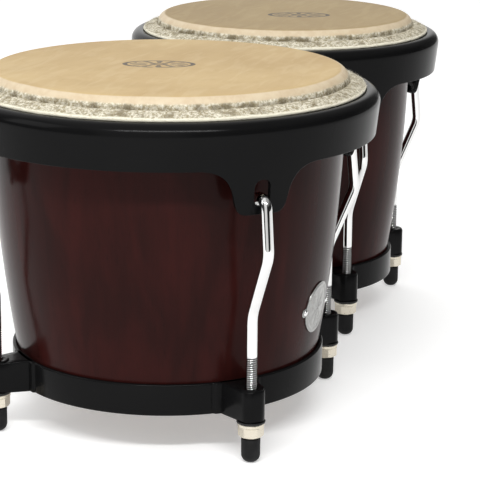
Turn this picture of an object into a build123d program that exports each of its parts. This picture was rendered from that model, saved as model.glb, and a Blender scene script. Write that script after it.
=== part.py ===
"""Pair of bongo drums: the large hembra and the small macho, bolted to one centre block.

Millimetres, +Z up, the floor at Z = 0. X runs along the line of the two drums with the
hembra at -X, and -Y is the front, where the badge is. The origin lies on the floor under
the middle of the pair.
"""
import os
from math import asin, cos, degrees, radians, sin, sqrt, tan

from build123d import *

os.makedirs("parts", exist_ok=True)

# ---------------------------------------------------------------- the two drums
HEMBRA_RIM_RADIUS = 122.0  # outside of the rolled steel rim
MACHO_RIM_RADIUS = 104.8
HEMBRA_RING_RADIUS = 91.6  # outside of the bottom ring
MACHO_RING_RADIUS = 76.4
RIM_GAP = 7.2  # free space between the two rims
DRUM_HEIGHT = 204.0  # floor to the playing surface
LUG_ANGLES = {
    "back_right": 45.0,
    "back_left": 135.0,
    "front_left": 225.0,
    "front_right": 315.0,
}

# ---------------------------------------------------------------- lug, nut and foot
ROD_DIAMETER = 6.35  # 1/4 inch rod with a 20 turns per inch thread
LUG_INSET = 14.5  # lower rod axis, inside the rim's outside
TIP_DIAMETER = 10.7
TIP_LENGTH = 14.2
TIP_ROUNDING = 4.2
TIP_FLOOR = 4.0  # rubber under the end of the rod
TIP_MOUTH_CHAMFER = 0.5
TIP_GAP = 0.6  # between rubber foot and nut
NUT_ACROSS_FLATS = 12.7
NUT_HEX_HEIGHT = 5.8
NUT_FLANGE_HEIGHT = 2.2
NUT_FLANGE_DIAMETER = 15.0
NUT_RUNNING_GAP = 0.1  # under the washer, so that the nut turns
THREAD_CLEARANCE = 0.15  # nut bore, per side
WASHER_DIAMETER = 16.0
WASHER_THICKNESS = 1.2
SLIDING_CLEARANCE = 0.5  # rod in boss and washer, per side

LOWER_BEND_DROP = 66.8  # from the hook down to the bend above the boss
UPPER_BEND_DROP = 30.3  # from the hook down to the bend outside the ear
UPPER_BEND_OUT = 3.6  # the rod's axis there, outside the rim
HOOK_WIDTH = 12.4  # from the outer leg to the inner leg, axis to axis
HOOK_RADIUS = 5.8
HOOK_END_DROP = 8.6
LOWER_BEND_RADIUS = 22.0
UPPER_BEND_RADIUS = 14.0
ROD_END_CHAMFER = 0.6

# ---------------------------------------------------------------- rim
RIM_TOP_DROP = 11.0  # top of the rim, below the playing surface
RIM_SHEET = 3.0
RIM_ROLL_RADIUS = 6.5
RIM_TAPER = 6.5  # degrees, the wall leans in towards its lower edge
RIM_BAND_HEIGHT = 25.5
RIM_LIP_LENGTH = 5.0  # inner lip that bears on the flesh hoop
EAR_DROP = 25.5  # from the band's lower edge to the ear's
EAR_ROOT_HALF = 36.0
EAR_SHOULDER_HALF = 21.0  # where the hollow shoulders would meet the band, drawn on straight
EAR_WAIST_HALF = 16.0
EAR_TOE_HALF = 7.0
EAR_CORNER_HALF = 13.0  # where the ear's side would meet its lower edge, drawn on straight
EAR_WAIST_HEIGHT = 9.0  # above the ear's lower edge
EAR_SIDE_RISE = 7.0  # the side is straight for this height over the waist
EAR_SIDE_LEAN = 1.5  # how far the side leans out over that height
SLOT_WIDTH = 9.4
SLOT_CORNER_RADIUS = 4.23
SLOT_WEB = 4.6  # steel left under the slot
SLOT_HEIGHT = 14.6
HOOK_SEAT_GAP = 1.0  # between web and hook, before the head pulls it home

# ---------------------------------------------------------------- bottom ring
RING_HEIGHT = 18.0
RING_SHEET = 2.4
RING_FLANGE = 3.0  # thickness under the shell
RING_FLANGE_WIDTH = 7.5
RING_SEAT_GAP = 0.1
BOSS_DIAMETER = 14.2
BOSS_RISE = 0.6  # boss above the ring's top edge
GUSSET_HALF = 11.0
GUSSET_DEPTH = 4.0  # how far the gusset's root reaches back from the ring's outside

# ---------------------------------------------------------------- shell and head
SHELL_WALL = 8.5
SHELL_BULGE = 2.7  # barrel swelling of the staves
EDGE_INSET = 19.4  # bearing edge, inside the rim's outside
EDGE_ROUNDING = 5.0
EDGE_INNER_BEVEL = 3.0
NECK_HEIGHT = 16.6  # straight part under the bearing edge
SKIN_THICKNESS = 1.4
SKIN_SKIRT = 18.0  # the skin's reach below the playing surface
HOOP_WIRE_DIAMETER = 6.0
HOOP_INSET = 11.5  # middle of the flesh hoop's wire, inside the rim's outside
COLLAR_INNER_INSET = 16.4
COLLAR_EDGE_INSET = 8.0
COLLAR_EDGE_THICKNESS = 1.8
COLLAR_TOP = 3.6  # collar above the rim's top, at its inner edge
COLLAR_GAP = 0.15  # collar to rim

# ---------------------------------------------------------------- centre block
BLOCK_DEPTH = 64.0
BLOCK_HEIGHT = 60.0
BLOCK_BOTTOM = 78.0
BLOCK_ROUNDING = 4.0
SADDLE_DEPTH = 44.0
SADDLE_HEIGHT = 50.0
SADDLE_THINNEST = 3.0
BOLT_DIAMETER = 8.0
BOLT_SPACING = 28.0
BOLT_CLEARANCE = 0.3
BOLT_HEAD_ACROSS_FLATS = 13.0
BOLT_HEAD_HEIGHT = 5.3
BOLT_WASHER_DIAMETER = 17.0
BOLT_WASHER_THICKNESS = 1.6
BOLT_NUT_HEIGHT = 6.5
BOLT_END = 3.0

# ---------------------------------------------------------------- badge
BADGE_ANGLE = 265.0
BADGE_HEIGHT = 71.5
BADGE_DIAMETER = 30.0
BADGE_THICKNESS = 1.4
BADGE_TAB_DIAMETER = 5.6
BADGE_PIN_SPACING = 31.0
BADGE_PIN_DIAMETER = 1.8
BADGE_PIN_LENGTH = 7.0
BADGE_PIN_HEAD_DIAMETER = 3.8
BADGE_PIN_HEAD_HEIGHT = 1.3

CUT_OVERRUN = 10.0  # a cutting solid runs this far past what it cuts

# ---------------------------------------------------------------- heights that follow
NUT_BOTTOM = TIP_LENGTH + TIP_GAP
NUT_TOP = NUT_BOTTOM + NUT_HEX_HEIGHT + NUT_FLANGE_HEIGHT
WASHER_BOTTOM = NUT_TOP + NUT_RUNNING_GAP
RING_BOTTOM = WASHER_BOTTOM + WASHER_THICKNESS
RING_TOP = RING_BOTTOM + RING_HEIGHT
SHELL_BOTTOM = RING_BOTTOM + RING_FLANGE
SHELL_TOP = DRUM_HEIGHT - SKIN_THICKNESS
NECK_BOTTOM = SHELL_TOP - NECK_HEIGHT
RIM_TOP = DRUM_HEIGHT - RIM_TOP_DROP
ROLL_CENTRE_HEIGHT = RIM_TOP - RIM_ROLL_RADIUS
BAND_BOTTOM = RIM_TOP - RIM_BAND_HEIGHT
EAR_BOTTOM = BAND_BOTTOM - EAR_DROP
LIP_BOTTOM = ROLL_CENTRE_HEIGHT - RIM_LIP_LENGTH
HOOP_HEIGHT = LIP_BOTTOM - SKIN_THICKNESS - HOOP_WIRE_DIAMETER / 2
SLOT_BOTTOM = EAR_BOTTOM + SLOT_WEB
HOOK_TOP = SLOT_BOTTOM + HOOK_SEAT_GAP + ROD_DIAMETER / 2
UPPER_BEND_HEIGHT = HOOK_TOP - UPPER_BEND_DROP
LOWER_BEND_HEIGHT = HOOK_TOP - LOWER_BEND_DROP

# ---------------------------------------------------------------- places that follow
SPAN = 2 * HEMBRA_RIM_RADIUS + RIM_GAP + 2 * MACHO_RIM_RADIUS
DRUMS = {
    "hembra": {
        "x": HEMBRA_RIM_RADIUS - SPAN / 2,
        "rim": HEMBRA_RIM_RADIUS,
        "ring": HEMBRA_RING_RADIUS,
    },
    "macho": {
        "x": SPAN / 2 - MACHO_RIM_RADIUS,
        "rim": MACHO_RIM_RADIUS,
        "ring": MACHO_RING_RADIUS,
    },
}
BLOCK_MIDDLE = BLOCK_BOTTOM + BLOCK_HEIGHT / 2
BOLT_HEIGHTS = [BLOCK_MIDDLE - BOLT_SPACING / 2, BLOCK_MIDDLE + BOLT_SPACING / 2]


def keep(builder, name):
    """Label a finished piece and write it as its own file."""
    builder.part.label = name
    export_step(builder.part, f"parts/{name}.step")


def profile_plane(drum):
    """Plane of a drum's turned sections: X is the radius from its axis, Y is the height."""
    return Plane(origin=(drum["x"], 0, 0), x_dir=(1, 0, 0), z_dir=(0, -1, 0))


def drum_axis(drum):
    """Upright axis of a drum."""
    return Axis((drum["x"], 0, 0), (0, 0, 1))


def radial_plane(drum, angle):
    """Plane that faces outwards at an angle: X runs round the drum, Y is the height."""
    out = (cos(radians(angle)), sin(radians(angle)), 0)
    around = (-sin(radians(angle)), cos(radians(angle)), 0)
    return Plane(origin=(drum["x"], 0, 0), x_dir=around, z_dir=out)


def lug_plane(drum, angle):
    """Upright plane through a drum's axis: X is the radius outwards, Y is the height."""
    out = (cos(radians(angle)), sin(radians(angle)), 0)
    side = (sin(radians(angle)), -cos(radians(angle)), 0)
    return Plane(origin=(drum["x"], 0, 0), x_dir=out, z_dir=side)


def lug_spot(drum, angle, height):
    """Horizontal plane centred on the lower axis of one lug."""
    reach = drum["rim"] - LUG_INSET
    x = drum["x"] + reach * cos(radians(angle))
    y = reach * sin(radians(angle))
    return Plane(origin=(x, y, height), x_dir=(1, 0, 0), z_dir=(0, 0, 1))


def lug_floor(drum, angle, height):
    """Horizontal plane at a height, on the drum's axis, with X pointing to one lug."""
    out = (cos(radians(angle)), sin(radians(angle)), 0)
    return Plane(origin=(drum["x"], 0, height), x_dir=out, z_dir=(0, 0, 1))


def seat_radius(drum):
    """Outside of the shell where the bottom ring holds it."""
    return drum["ring"] - RING_SHEET - RING_SEAT_GAP


def edge_radius(drum):
    """Outside of the shell under the bearing edge."""
    return drum["rim"] - EDGE_INSET


def stave_points(drum, inset):
    """Three points of the arc over the staves, from the ring to the neck, moved in by inset."""
    seat = seat_radius(drum) - inset
    edge = edge_radius(drum) - inset
    swell = (seat + edge) / 2 + SHELL_BULGE
    return (seat, RING_TOP), (swell, (RING_TOP + NECK_BOTTOM) / 2), (edge, NECK_BOTTOM)


def stave_radius(drum, inset, height):
    """Radius of the staves at a height between the ring and the neck, moved in by inset."""
    arc = ThreePointArc(*stave_points(drum, inset), mode=Mode.PRIVATE)
    middle = arc.arc_center
    return middle.X + sqrt(arc.radius**2 - (height - middle.Y) ** 2)


def turned_side(drum, inset, reach):
    """One closed outline from the axis out to the shell's side, moved in by inset.

    It is straight in the ring, an arc over the staves and straight in the neck. The reach
    lengthens it above and below the shell.
    """
    seat, swell, neck = stave_points(drum, inset)
    low = SHELL_BOTTOM - reach
    high = SHELL_TOP + reach
    Line((0, low), (seat[0], low))
    Line((seat[0], low), seat)
    ThreePointArc(seat, swell, neck)
    Line(neck, (neck[0], high))
    Line((neck[0], high), (0, high))
    Line((0, high), (0, low))


def core(drum, inset, reach):
    """Solid that fills a shell out to its side, moved in by inset."""
    with BuildPart() as filled:
        with BuildSketch(profile_plane(drum)):
            with BuildLine():
                turned_side(drum, inset, reach)
            make_face()
        revolve(axis=drum_axis(drum))
    return filled.part


def rounded_core(drum):
    """Solid that fills a shell, with the rounded bearing edge that the skin turns over."""
    with BuildPart() as filled:
        add(core(drum, 0, 0))
        fillet(filled.edges().group_by(Axis.Z)[-1], EDGE_ROUNDING)
    return filled.part


def shell(drum, name):
    """Staved wooden shell, open at both ends, with a rounded bearing edge."""
    with BuildPart() as wood:
        add(rounded_core(drum))
        add(core(drum, SHELL_WALL, CUT_OVERRUN), mode=Mode.SUBTRACT)
        chamfer(wood.edges().group_by(Axis.Z)[-1].sort_by(SortBy.RADIUS)[0], EDGE_INNER_BEVEL)
        with BuildSketch(Plane.YZ.offset(drum["x"])):
            with Locations(*[(0, height) for height in BOLT_HEIGHTS]):
                Circle(BOLT_DIAMETER / 2 + BOLT_CLEARANCE)
        extrude(amount=toward_middle(drum) * drum["rim"], mode=Mode.SUBTRACT)
        if drum is DRUMS["hembra"]:
            add(badge_pin_shanks(), mode=Mode.SUBTRACT)
    keep(wood, name)


def bottom_ring(drum, name):
    """Steel ring under the shell, with a flange that carries it and four bored bosses."""
    outer = drum["ring"]
    inner = outer - RING_SHEET
    with BuildPart() as ring:
        with BuildSketch(Plane.XY.offset(RING_BOTTOM)):
            with Locations((drum["x"], 0)):
                Circle(outer)
                Circle(inner - RING_FLANGE_WIDTH, mode=Mode.SUBTRACT)
        extrude(amount=RING_HEIGHT)
        for angle in LUG_ANGLES.values():
            root = outer - GUSSET_DEPTH
            reach = drum["rim"] - LUG_INSET
            with BuildSketch(lug_floor(drum, angle, RING_BOTTOM)):
                with BuildLine():
                    Polyline(
                        (root, -GUSSET_HALF),
                        (reach, -BOSS_DIAMETER / 2),
                        (reach, BOSS_DIAMETER / 2),
                        (root, GUSSET_HALF),
                        close=True,
                    )
                make_face()
            extrude(amount=RING_HEIGHT)
            with BuildSketch(lug_spot(drum, angle, RING_BOTTOM)):
                Circle(BOSS_DIAMETER / 2)
            extrude(amount=RING_HEIGHT + BOSS_RISE)
        with BuildSketch(Plane.XY.offset(SHELL_BOTTOM)):
            with Locations((drum["x"], 0)):
                Circle(inner)
        extrude(amount=RING_HEIGHT, mode=Mode.SUBTRACT)
        for angle in LUG_ANGLES.values():
            with BuildSketch(lug_spot(drum, angle, RING_BOTTOM)):
                Circle(ROD_DIAMETER / 2 + SLIDING_CLEARANCE)
            extrude(amount=RING_HEIGHT + BOSS_RISE, mode=Mode.SUBTRACT)
    keep(ring, name)


def ear_outline():
    """Bell-shaped ear: hollow shoulders from the band, then a rounded toe."""
    top = BAND_BOTTOM + RIM_SHEET
    waist = EAR_BOTTOM + EAR_WAIST_HEIGHT
    for side in (-1, 1):
        Line((side * EAR_ROOT_HALF, top), (side * EAR_ROOT_HALF, BAND_BOTTOM))
        Bezier(
            (side * EAR_ROOT_HALF, BAND_BOTTOM),
            (side * EAR_SHOULDER_HALF, BAND_BOTTOM),
            (side * (EAR_WAIST_HALF + EAR_SIDE_LEAN), waist + EAR_SIDE_RISE),
            (side * EAR_WAIST_HALF, waist),
        )
        Bezier(
            (side * EAR_WAIST_HALF, waist),
            (side * (EAR_WAIST_HALF - EAR_SIDE_LEAN), waist - EAR_SIDE_RISE),
            (side * EAR_CORNER_HALF, EAR_BOTTOM),
            (side * EAR_TOE_HALF, EAR_BOTTOM),
        )
    Line((-EAR_ROOT_HALF, top), (EAR_ROOT_HALF, top))
    Line((-EAR_TOE_HALF, EAR_BOTTOM), (EAR_TOE_HALF, EAR_BOTTOM))


def wall_radius(drum, height):
    """Outside of the rim's leaning wall at a height."""
    lean = radians(RIM_TAPER)
    start = ROLL_CENTRE_HEIGHT - RIM_ROLL_RADIUS * sin(lean)
    edge = drum["rim"] - RIM_ROLL_RADIUS + RIM_ROLL_RADIUS * cos(lean)
    return edge - (start - height) * tan(lean)


def rim(drum, name):
    """Rolled steel counter-hoop: a band with a round top, an inner lip and four slotted ears."""
    lean = radians(RIM_TAPER)
    roll = drum["rim"] - RIM_ROLL_RADIUS
    bore = RIM_ROLL_RADIUS - RIM_SHEET
    across = RIM_SHEET / cos(lean)
    ear_low = EAR_BOTTOM - RIM_SHEET
    ear_high = BAND_BOTTOM + RIM_SHEET
    with BuildPart() as ears:
        for angle in LUG_ANGLES.values():
            with BuildSketch(radial_plane(drum, angle)):
                with BuildLine():
                    ear_outline()
                make_face()
            extrude(amount=2 * drum["rim"])
    with BuildPart() as hoop:
        with BuildSketch(profile_plane(drum)):
            with BuildLine():
                Polyline(
                    (wall_radius(drum, ear_low), ear_low),
                    (wall_radius(drum, ear_high), ear_high),
                    (wall_radius(drum, ear_high) - across, ear_high),
                    (wall_radius(drum, ear_low) - across, ear_low),
                    close=True,
                )
            make_face()
        revolve(axis=drum_axis(drum))
        add(ears.part, mode=Mode.INTERSECT)
        with BuildSketch(profile_plane(drum)):
            with BuildLine():
                low_outer = (wall_radius(drum, BAND_BOTTOM), BAND_BOTTOM)
                low_inner = (low_outer[0] - across, BAND_BOTTOM)
                outer = [
                    (roll + RIM_ROLL_RADIUS * cos(lean), ROLL_CENTRE_HEIGHT - RIM_ROLL_RADIUS * sin(lean)),
                    (roll, RIM_TOP),
                    (roll - RIM_ROLL_RADIUS, ROLL_CENTRE_HEIGHT),
                ]
                inner = [
                    (roll - bore, ROLL_CENTRE_HEIGHT),
                    (roll, ROLL_CENTRE_HEIGHT + bore),
                    (roll + bore * cos(lean), ROLL_CENTRE_HEIGHT - bore * sin(lean)),
                ]
                Line(low_outer, outer[0])
                ThreePointArc(*outer)
                Line(outer[2], (outer[2][0], LIP_BOTTOM))
                Line((outer[2][0], LIP_BOTTOM), (inner[0][0], LIP_BOTTOM))
                Line((inner[0][0], LIP_BOTTOM), inner[0])
                ThreePointArc(*inner)
                Line(inner[2], low_inner)
                Line(low_inner, low_outer)
            make_face()
        revolve(axis=drum_axis(drum))
        for angle in LUG_ANGLES.values():
            with BuildSketch(radial_plane(drum, angle)):
                with Locations((0, SLOT_BOTTOM + SLOT_HEIGHT / 2)):
                    RectangleRounded(SLOT_WIDTH, SLOT_HEIGHT, SLOT_CORNER_RADIUS)
            extrude(amount=2 * drum["rim"], mode=Mode.SUBTRACT)
    keep(hoop, name)


def skin(drum, name):
    """Playing skin: the flat crown, turned down over the bearing edge."""
    reach = edge_radius(drum) + SKIN_THICKNESS
    with BuildPart() as head:
        with BuildSketch(profile_plane(drum)):
            with Locations((reach / 2, DRUM_HEIGHT - SKIN_SKIRT / 2)):
                Rectangle(reach, SKIN_SKIRT)
        revolve(axis=drum_axis(drum))
        fillet(head.edges().group_by(Axis.Z)[-1], EDGE_ROUNDING + SKIN_THICKNESS)
        add(rounded_core(drum), mode=Mode.SUBTRACT)
    keep(head, name)


def collar(drum, name):
    """The skin's hairy edge, wrapped round the flesh hoop and trimmed on top of the rim."""
    inside = drum["rim"] - COLLAR_INNER_INSET
    roll = drum["rim"] - RIM_ROLL_RADIUS
    lip = roll - RIM_ROLL_RADIUS
    edge = drum["rim"] - COLLAR_EDGE_INSET
    hoop = drum["rim"] - HOOP_INSET
    wrap = HOOP_WIRE_DIAMETER / 2 + SKIN_THICKNESS
    with BuildPart() as tuck:
        with BuildSketch(profile_plane(drum)):
            with BuildLine():
                Polyline(
                    (inside, HOOP_HEIGHT),
                    (inside, RIM_TOP + COLLAR_TOP),
                    (edge, RIM_TOP + COLLAR_GAP + COLLAR_EDGE_THICKNESS),
                    (edge, RIM_TOP - RIM_ROLL_RADIUS),
                    (lip - COLLAR_GAP, ROLL_CENTRE_HEIGHT),
                    (lip - COLLAR_GAP, HOOP_HEIGHT),
                    close=True,
                )
            make_face()
            with Locations((roll, ROLL_CENTRE_HEIGHT)):
                Circle(RIM_ROLL_RADIUS + COLLAR_GAP, mode=Mode.SUBTRACT)
            with Locations((hoop, HOOP_HEIGHT)):
                Circle(wrap)
                Circle(HOOP_WIRE_DIAMETER / 2, mode=Mode.SUBTRACT)
        revolve(axis=drum_axis(drum))
    keep(tuck, name)


def flesh_hoop(drum, name):
    """Round steel hoop inside the tucked edge of the skin."""
    with BuildPart() as wire:
        with BuildSketch(profile_plane(drum)):
            with Locations((drum["rim"] - HOOP_INSET, HOOP_HEIGHT)):
                Circle(HOOP_WIRE_DIAMETER / 2)
        revolve(axis=drum_axis(drum))
    keep(wire, name)


def lug(drum, angle, name):
    """Bent tuning rod: straight through the boss, out round the ear and hooked into its slot."""
    straight = drum["rim"] - LUG_INSET
    wall = wall_radius(drum, SLOT_BOTTOM) - RIM_SHEET / 2
    inner_leg = wall - HOOK_WIDTH / 2
    outer_leg = wall + HOOK_WIDTH / 2
    with BuildPart() as rod:
        with BuildLine(lug_plane(drum, angle)) as route:
            FilletPolyline(
                (straight, TIP_FLOOR),
                (straight, LOWER_BEND_HEIGHT),
                (drum["rim"] + UPPER_BEND_OUT, UPPER_BEND_HEIGHT),
                (outer_leg, HOOK_TOP),
                (inner_leg, HOOK_TOP),
                (inner_leg, HOOK_TOP - HOOK_END_DROP),
                radius=[LOWER_BEND_RADIUS, UPPER_BEND_RADIUS, HOOK_RADIUS, HOOK_RADIUS],
            )
        with BuildSketch(lug_spot(drum, angle, TIP_FLOOR)):
            Circle(ROD_DIAMETER / 2)
        sweep(path=route.wires()[0])
        chamfer(rod.edges().group_by(Axis.Z)[0], ROD_END_CHAMFER)
    keep(rod, name)


def tip(drum, angle, name):
    """Bullet-shaped rubber foot pushed on the end of a rod."""
    with BuildPart() as foot:
        with BuildSketch(lug_spot(drum, angle, 0)):
            Circle(TIP_DIAMETER / 2)
        extrude(amount=TIP_LENGTH)
        fillet(foot.edges().group_by(Axis.Z)[0], TIP_ROUNDING)
        chamfer(foot.edges().group_by(Axis.Z)[-1], TIP_MOUTH_CHAMFER)
        with BuildSketch(lug_spot(drum, angle, TIP_FLOOR)):
            Circle(ROD_DIAMETER / 2)
        extrude(amount=TIP_LENGTH, mode=Mode.SUBTRACT)
    keep(foot, name)


def nut(drum, angle, name):
    """Flanged hexagon nut that draws a lug down through its boss."""
    spot = lug_spot(drum, angle, NUT_BOTTOM)
    with BuildPart() as hexagon:
        with BuildSketch(spot):
            RegularPolygon(NUT_ACROSS_FLATS / 2, 6, major_radius=False)
        extrude(amount=NUT_HEX_HEIGHT)
        with BuildSketch(lug_spot(drum, angle, NUT_BOTTOM + NUT_HEX_HEIGHT)):
            Circle(NUT_FLANGE_DIAMETER / 2)
        extrude(amount=NUT_FLANGE_HEIGHT)
        with BuildSketch(spot):
            Circle(ROD_DIAMETER / 2 + THREAD_CLEARANCE)
        extrude(amount=NUT_HEX_HEIGHT + NUT_FLANGE_HEIGHT, mode=Mode.SUBTRACT)
    keep(hexagon, name)


def lug_washers(drum, name):
    """Black washers between the bosses and the nuts."""
    with BuildPart() as washers:
        for angle in LUG_ANGLES.values():
            with BuildSketch(lug_spot(drum, angle, WASHER_BOTTOM)):
                Circle(WASHER_DIAMETER / 2)
                Circle(ROD_DIAMETER / 2 + SLIDING_CLEARANCE, mode=Mode.SUBTRACT)
            extrude(amount=WASHER_THICKNESS)
    keep(washers, name)


def toward_middle(drum):
    """+1 where the other drum lies at +X, -1 where it lies at -X."""
    return 1 if drum["x"] < 0 else -1


def saddle_face(drum):
    """X of the flat side of a drum's backing saddle."""
    wall = stave_radius(drum, SHELL_WALL, BLOCK_MIDDLE - SADDLE_HEIGHT / 2)
    reach = sqrt(wall**2 - (SADDLE_DEPTH / 2) ** 2) - SADDLE_THINNEST
    return drum["x"] + toward_middle(drum) * reach


def bolt_bores():
    """Bores across the whole pair, for the pieces that the two bolts pass through."""
    with BuildPart() as bores:
        with BuildSketch(Plane.YZ.offset(-SPAN)):
            with Locations(*[(0, height) for height in BOLT_HEIGHTS]):
                Circle(BOLT_DIAMETER / 2 + BOLT_CLEARANCE)
        extrude(amount=2 * SPAN)
    return bores.part


def centre_block():
    """Wooden block between the shells, hollowed at both ends to fit them."""
    start = DRUMS["hembra"]["x"]
    end = DRUMS["macho"]["x"]
    with BuildPart() as block:
        with BuildSketch(Plane.YZ.offset(start)):
            with Locations((0, BLOCK_MIDDLE)):
                RectangleRounded(BLOCK_DEPTH, BLOCK_HEIGHT, BLOCK_ROUNDING)
        extrude(amount=end - start)
        for drum in DRUMS.values():
            add(core(drum, 0, 0), mode=Mode.SUBTRACT)
        add(bolt_bores(), mode=Mode.SUBTRACT)
    keep(block, "centre_block")


def backing_saddle(drum, name):
    """Saddle inside a shell: round against the wood, flat under the bolt heads or nuts."""
    flat = saddle_face(drum)
    with BuildPart() as saddle:
        with BuildSketch(Plane.YZ.offset(flat)):
            with Locations((0, BLOCK_MIDDLE)):
                RectangleRounded(SADDLE_DEPTH, SADDLE_HEIGHT, BLOCK_ROUNDING)
        extrude(amount=toward_middle(drum) * drum["rim"] / 2)
        add(core(drum, SHELL_WALL, 0), mode=Mode.INTERSECT)
        add(bolt_bores(), mode=Mode.SUBTRACT)
    keep(saddle, name)


def centre_bolts():
    """Two bolts right through the hembra's wall, the block and the macho's wall."""
    head = saddle_face(DRUMS["hembra"])
    end = saddle_face(DRUMS["macho"]) + BOLT_WASHER_THICKNESS + BOLT_NUT_HEIGHT + BOLT_END
    with BuildPart() as bolts:
        with BuildSketch(Plane.YZ.offset(head)):
            with Locations(*[(0, height) for height in BOLT_HEIGHTS]):
                Circle(BOLT_DIAMETER / 2)
        extrude(amount=end - head)
        with BuildSketch(Plane.YZ.offset(head)):
            with Locations(*[(0, height) for height in BOLT_HEIGHTS]):
                RegularPolygon(BOLT_HEAD_ACROSS_FLATS / 2, 6, major_radius=False)
        extrude(amount=-BOLT_HEAD_HEIGHT)
    keep(bolts, "centre_bolts")


def centre_bolt_washers():
    """Washers under the nuts inside the macho."""
    with BuildPart() as washers:
        with BuildSketch(Plane.YZ.offset(saddle_face(DRUMS["macho"]))):
            with Locations(*[(0, height) for height in BOLT_HEIGHTS]):
                Circle(BOLT_WASHER_DIAMETER / 2)
                Circle(BOLT_DIAMETER / 2 + BOLT_CLEARANCE, mode=Mode.SUBTRACT)
        extrude(amount=BOLT_WASHER_THICKNESS)
    keep(washers, "centre_bolt_washers")


def centre_bolt_nuts():
    """Nuts inside the macho that clamp both drums to the block."""
    seat = saddle_face(DRUMS["macho"]) + BOLT_WASHER_THICKNESS
    with BuildPart() as nuts:
        with BuildSketch(Plane.YZ.offset(seat)):
            with Locations(*[(0, height) for height in BOLT_HEIGHTS]):
                RegularPolygon(BOLT_HEAD_ACROSS_FLATS / 2, 6, major_radius=False)
                Circle(BOLT_DIAMETER / 2, mode=Mode.SUBTRACT)
        extrude(amount=BOLT_NUT_HEIGHT)
    keep(nuts, "centre_bolt_nuts")


def badge_pin_planes(reach):
    """Planes square to the two badge pins, at a distance from the hembra's axis."""
    drum = DRUMS["hembra"]
    swing = degrees(asin(BADGE_PIN_SPACING / 2 / stave_radius(drum, 0, BADGE_HEIGHT)))
    return [radial_plane(drum, BADGE_ANGLE + turn).offset(reach) for turn in (-swing, swing)]


def badge_pin_seat():
    """Distance of the pins' heads from the hembra's axis, clear of the badge's leaning face."""
    top = BADGE_HEIGHT + BADGE_PIN_HEAD_DIAMETER / 2
    return stave_radius(DRUMS["hembra"], 0, top) + BADGE_THICKNESS


def badge_pin_shanks():
    """The shanks of the badge's pins, which are also the holes that they are driven into."""
    with BuildPart() as shanks:
        for plane in badge_pin_planes(badge_pin_seat()):
            with BuildSketch(plane):
                with Locations((0, BADGE_HEIGHT)):
                    Circle(BADGE_PIN_DIAMETER / 2)
            extrude(amount=-BADGE_PIN_LENGTH)
    return shanks.part


def badge_pins():
    """Two round-headed pins through the badge's tabs."""
    with BuildPart() as pins:
        add(badge_pin_shanks())
        for plane in badge_pin_planes(badge_pin_seat()):
            with BuildSketch(plane):
                with Locations((0, BADGE_HEIGHT)):
                    Circle(BADGE_PIN_HEAD_DIAMETER / 2)
            extrude(amount=BADGE_PIN_HEAD_HEIGHT)
    keep(pins, "badge_pins")


def badge():
    """Round metal badge with two pinned tabs, bent to the hembra's shell."""
    drum = DRUMS["hembra"]
    with BuildPart() as plate:
        with BuildSketch(radial_plane(drum, BADGE_ANGLE)):
            with Locations((0, BADGE_HEIGHT)):
                Circle(BADGE_DIAMETER / 2)
                with GridLocations(BADGE_PIN_SPACING, 1, 2, 1):
                    Circle(BADGE_TAB_DIAMETER / 2)
        extrude(amount=2 * drum["rim"])
        add(core(drum, -BADGE_THICKNESS, 0), mode=Mode.INTERSECT)
        add(core(drum, 0, 0), mode=Mode.SUBTRACT)
        add(badge_pin_shanks(), mode=Mode.SUBTRACT)
    keep(plate, "badge")


for drum_name, size in DRUMS.items():
    shell(size, f"{drum_name}_shell")
    bottom_ring(size, f"{drum_name}_bottom_ring")
    rim(size, f"{drum_name}_rim")
    skin(size, f"{drum_name}_skin")
    collar(size, f"{drum_name}_skin_collar")
    flesh_hoop(size, f"{drum_name}_flesh_hoop")
    lug_washers(size, f"{drum_name}_lug_washers")
    backing_saddle(size, f"{drum_name}_backing_saddle")
    for place, lug_angle in LUG_ANGLES.items():
        lug(size, lug_angle, f"{drum_name}_{place}_lug")
        tip(size, lug_angle, f"{drum_name}_{place}_tip")
        nut(size, lug_angle, f"{drum_name}_{place}_nut")

centre_block()
centre_bolts()
centre_bolt_washers()
centre_bolt_nuts()
badge()
badge_pins()
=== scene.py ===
# %% [markdown]
# # A pair of bongo drums
#
# Two wooden drums of different sizes stand side by side on the ends of their own tuning
# rods. The large one is the hembra and the small one is the macho. Every bought-in or pressed
# piece repeats around a drum, so the lesson builds each shape once as a function of the
# drum's sizes and then calls it for both drums.
#
# The frame comes first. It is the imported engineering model: fixed bodies in real places, in
# metres. All new pieces take their places from it.

import math

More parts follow.
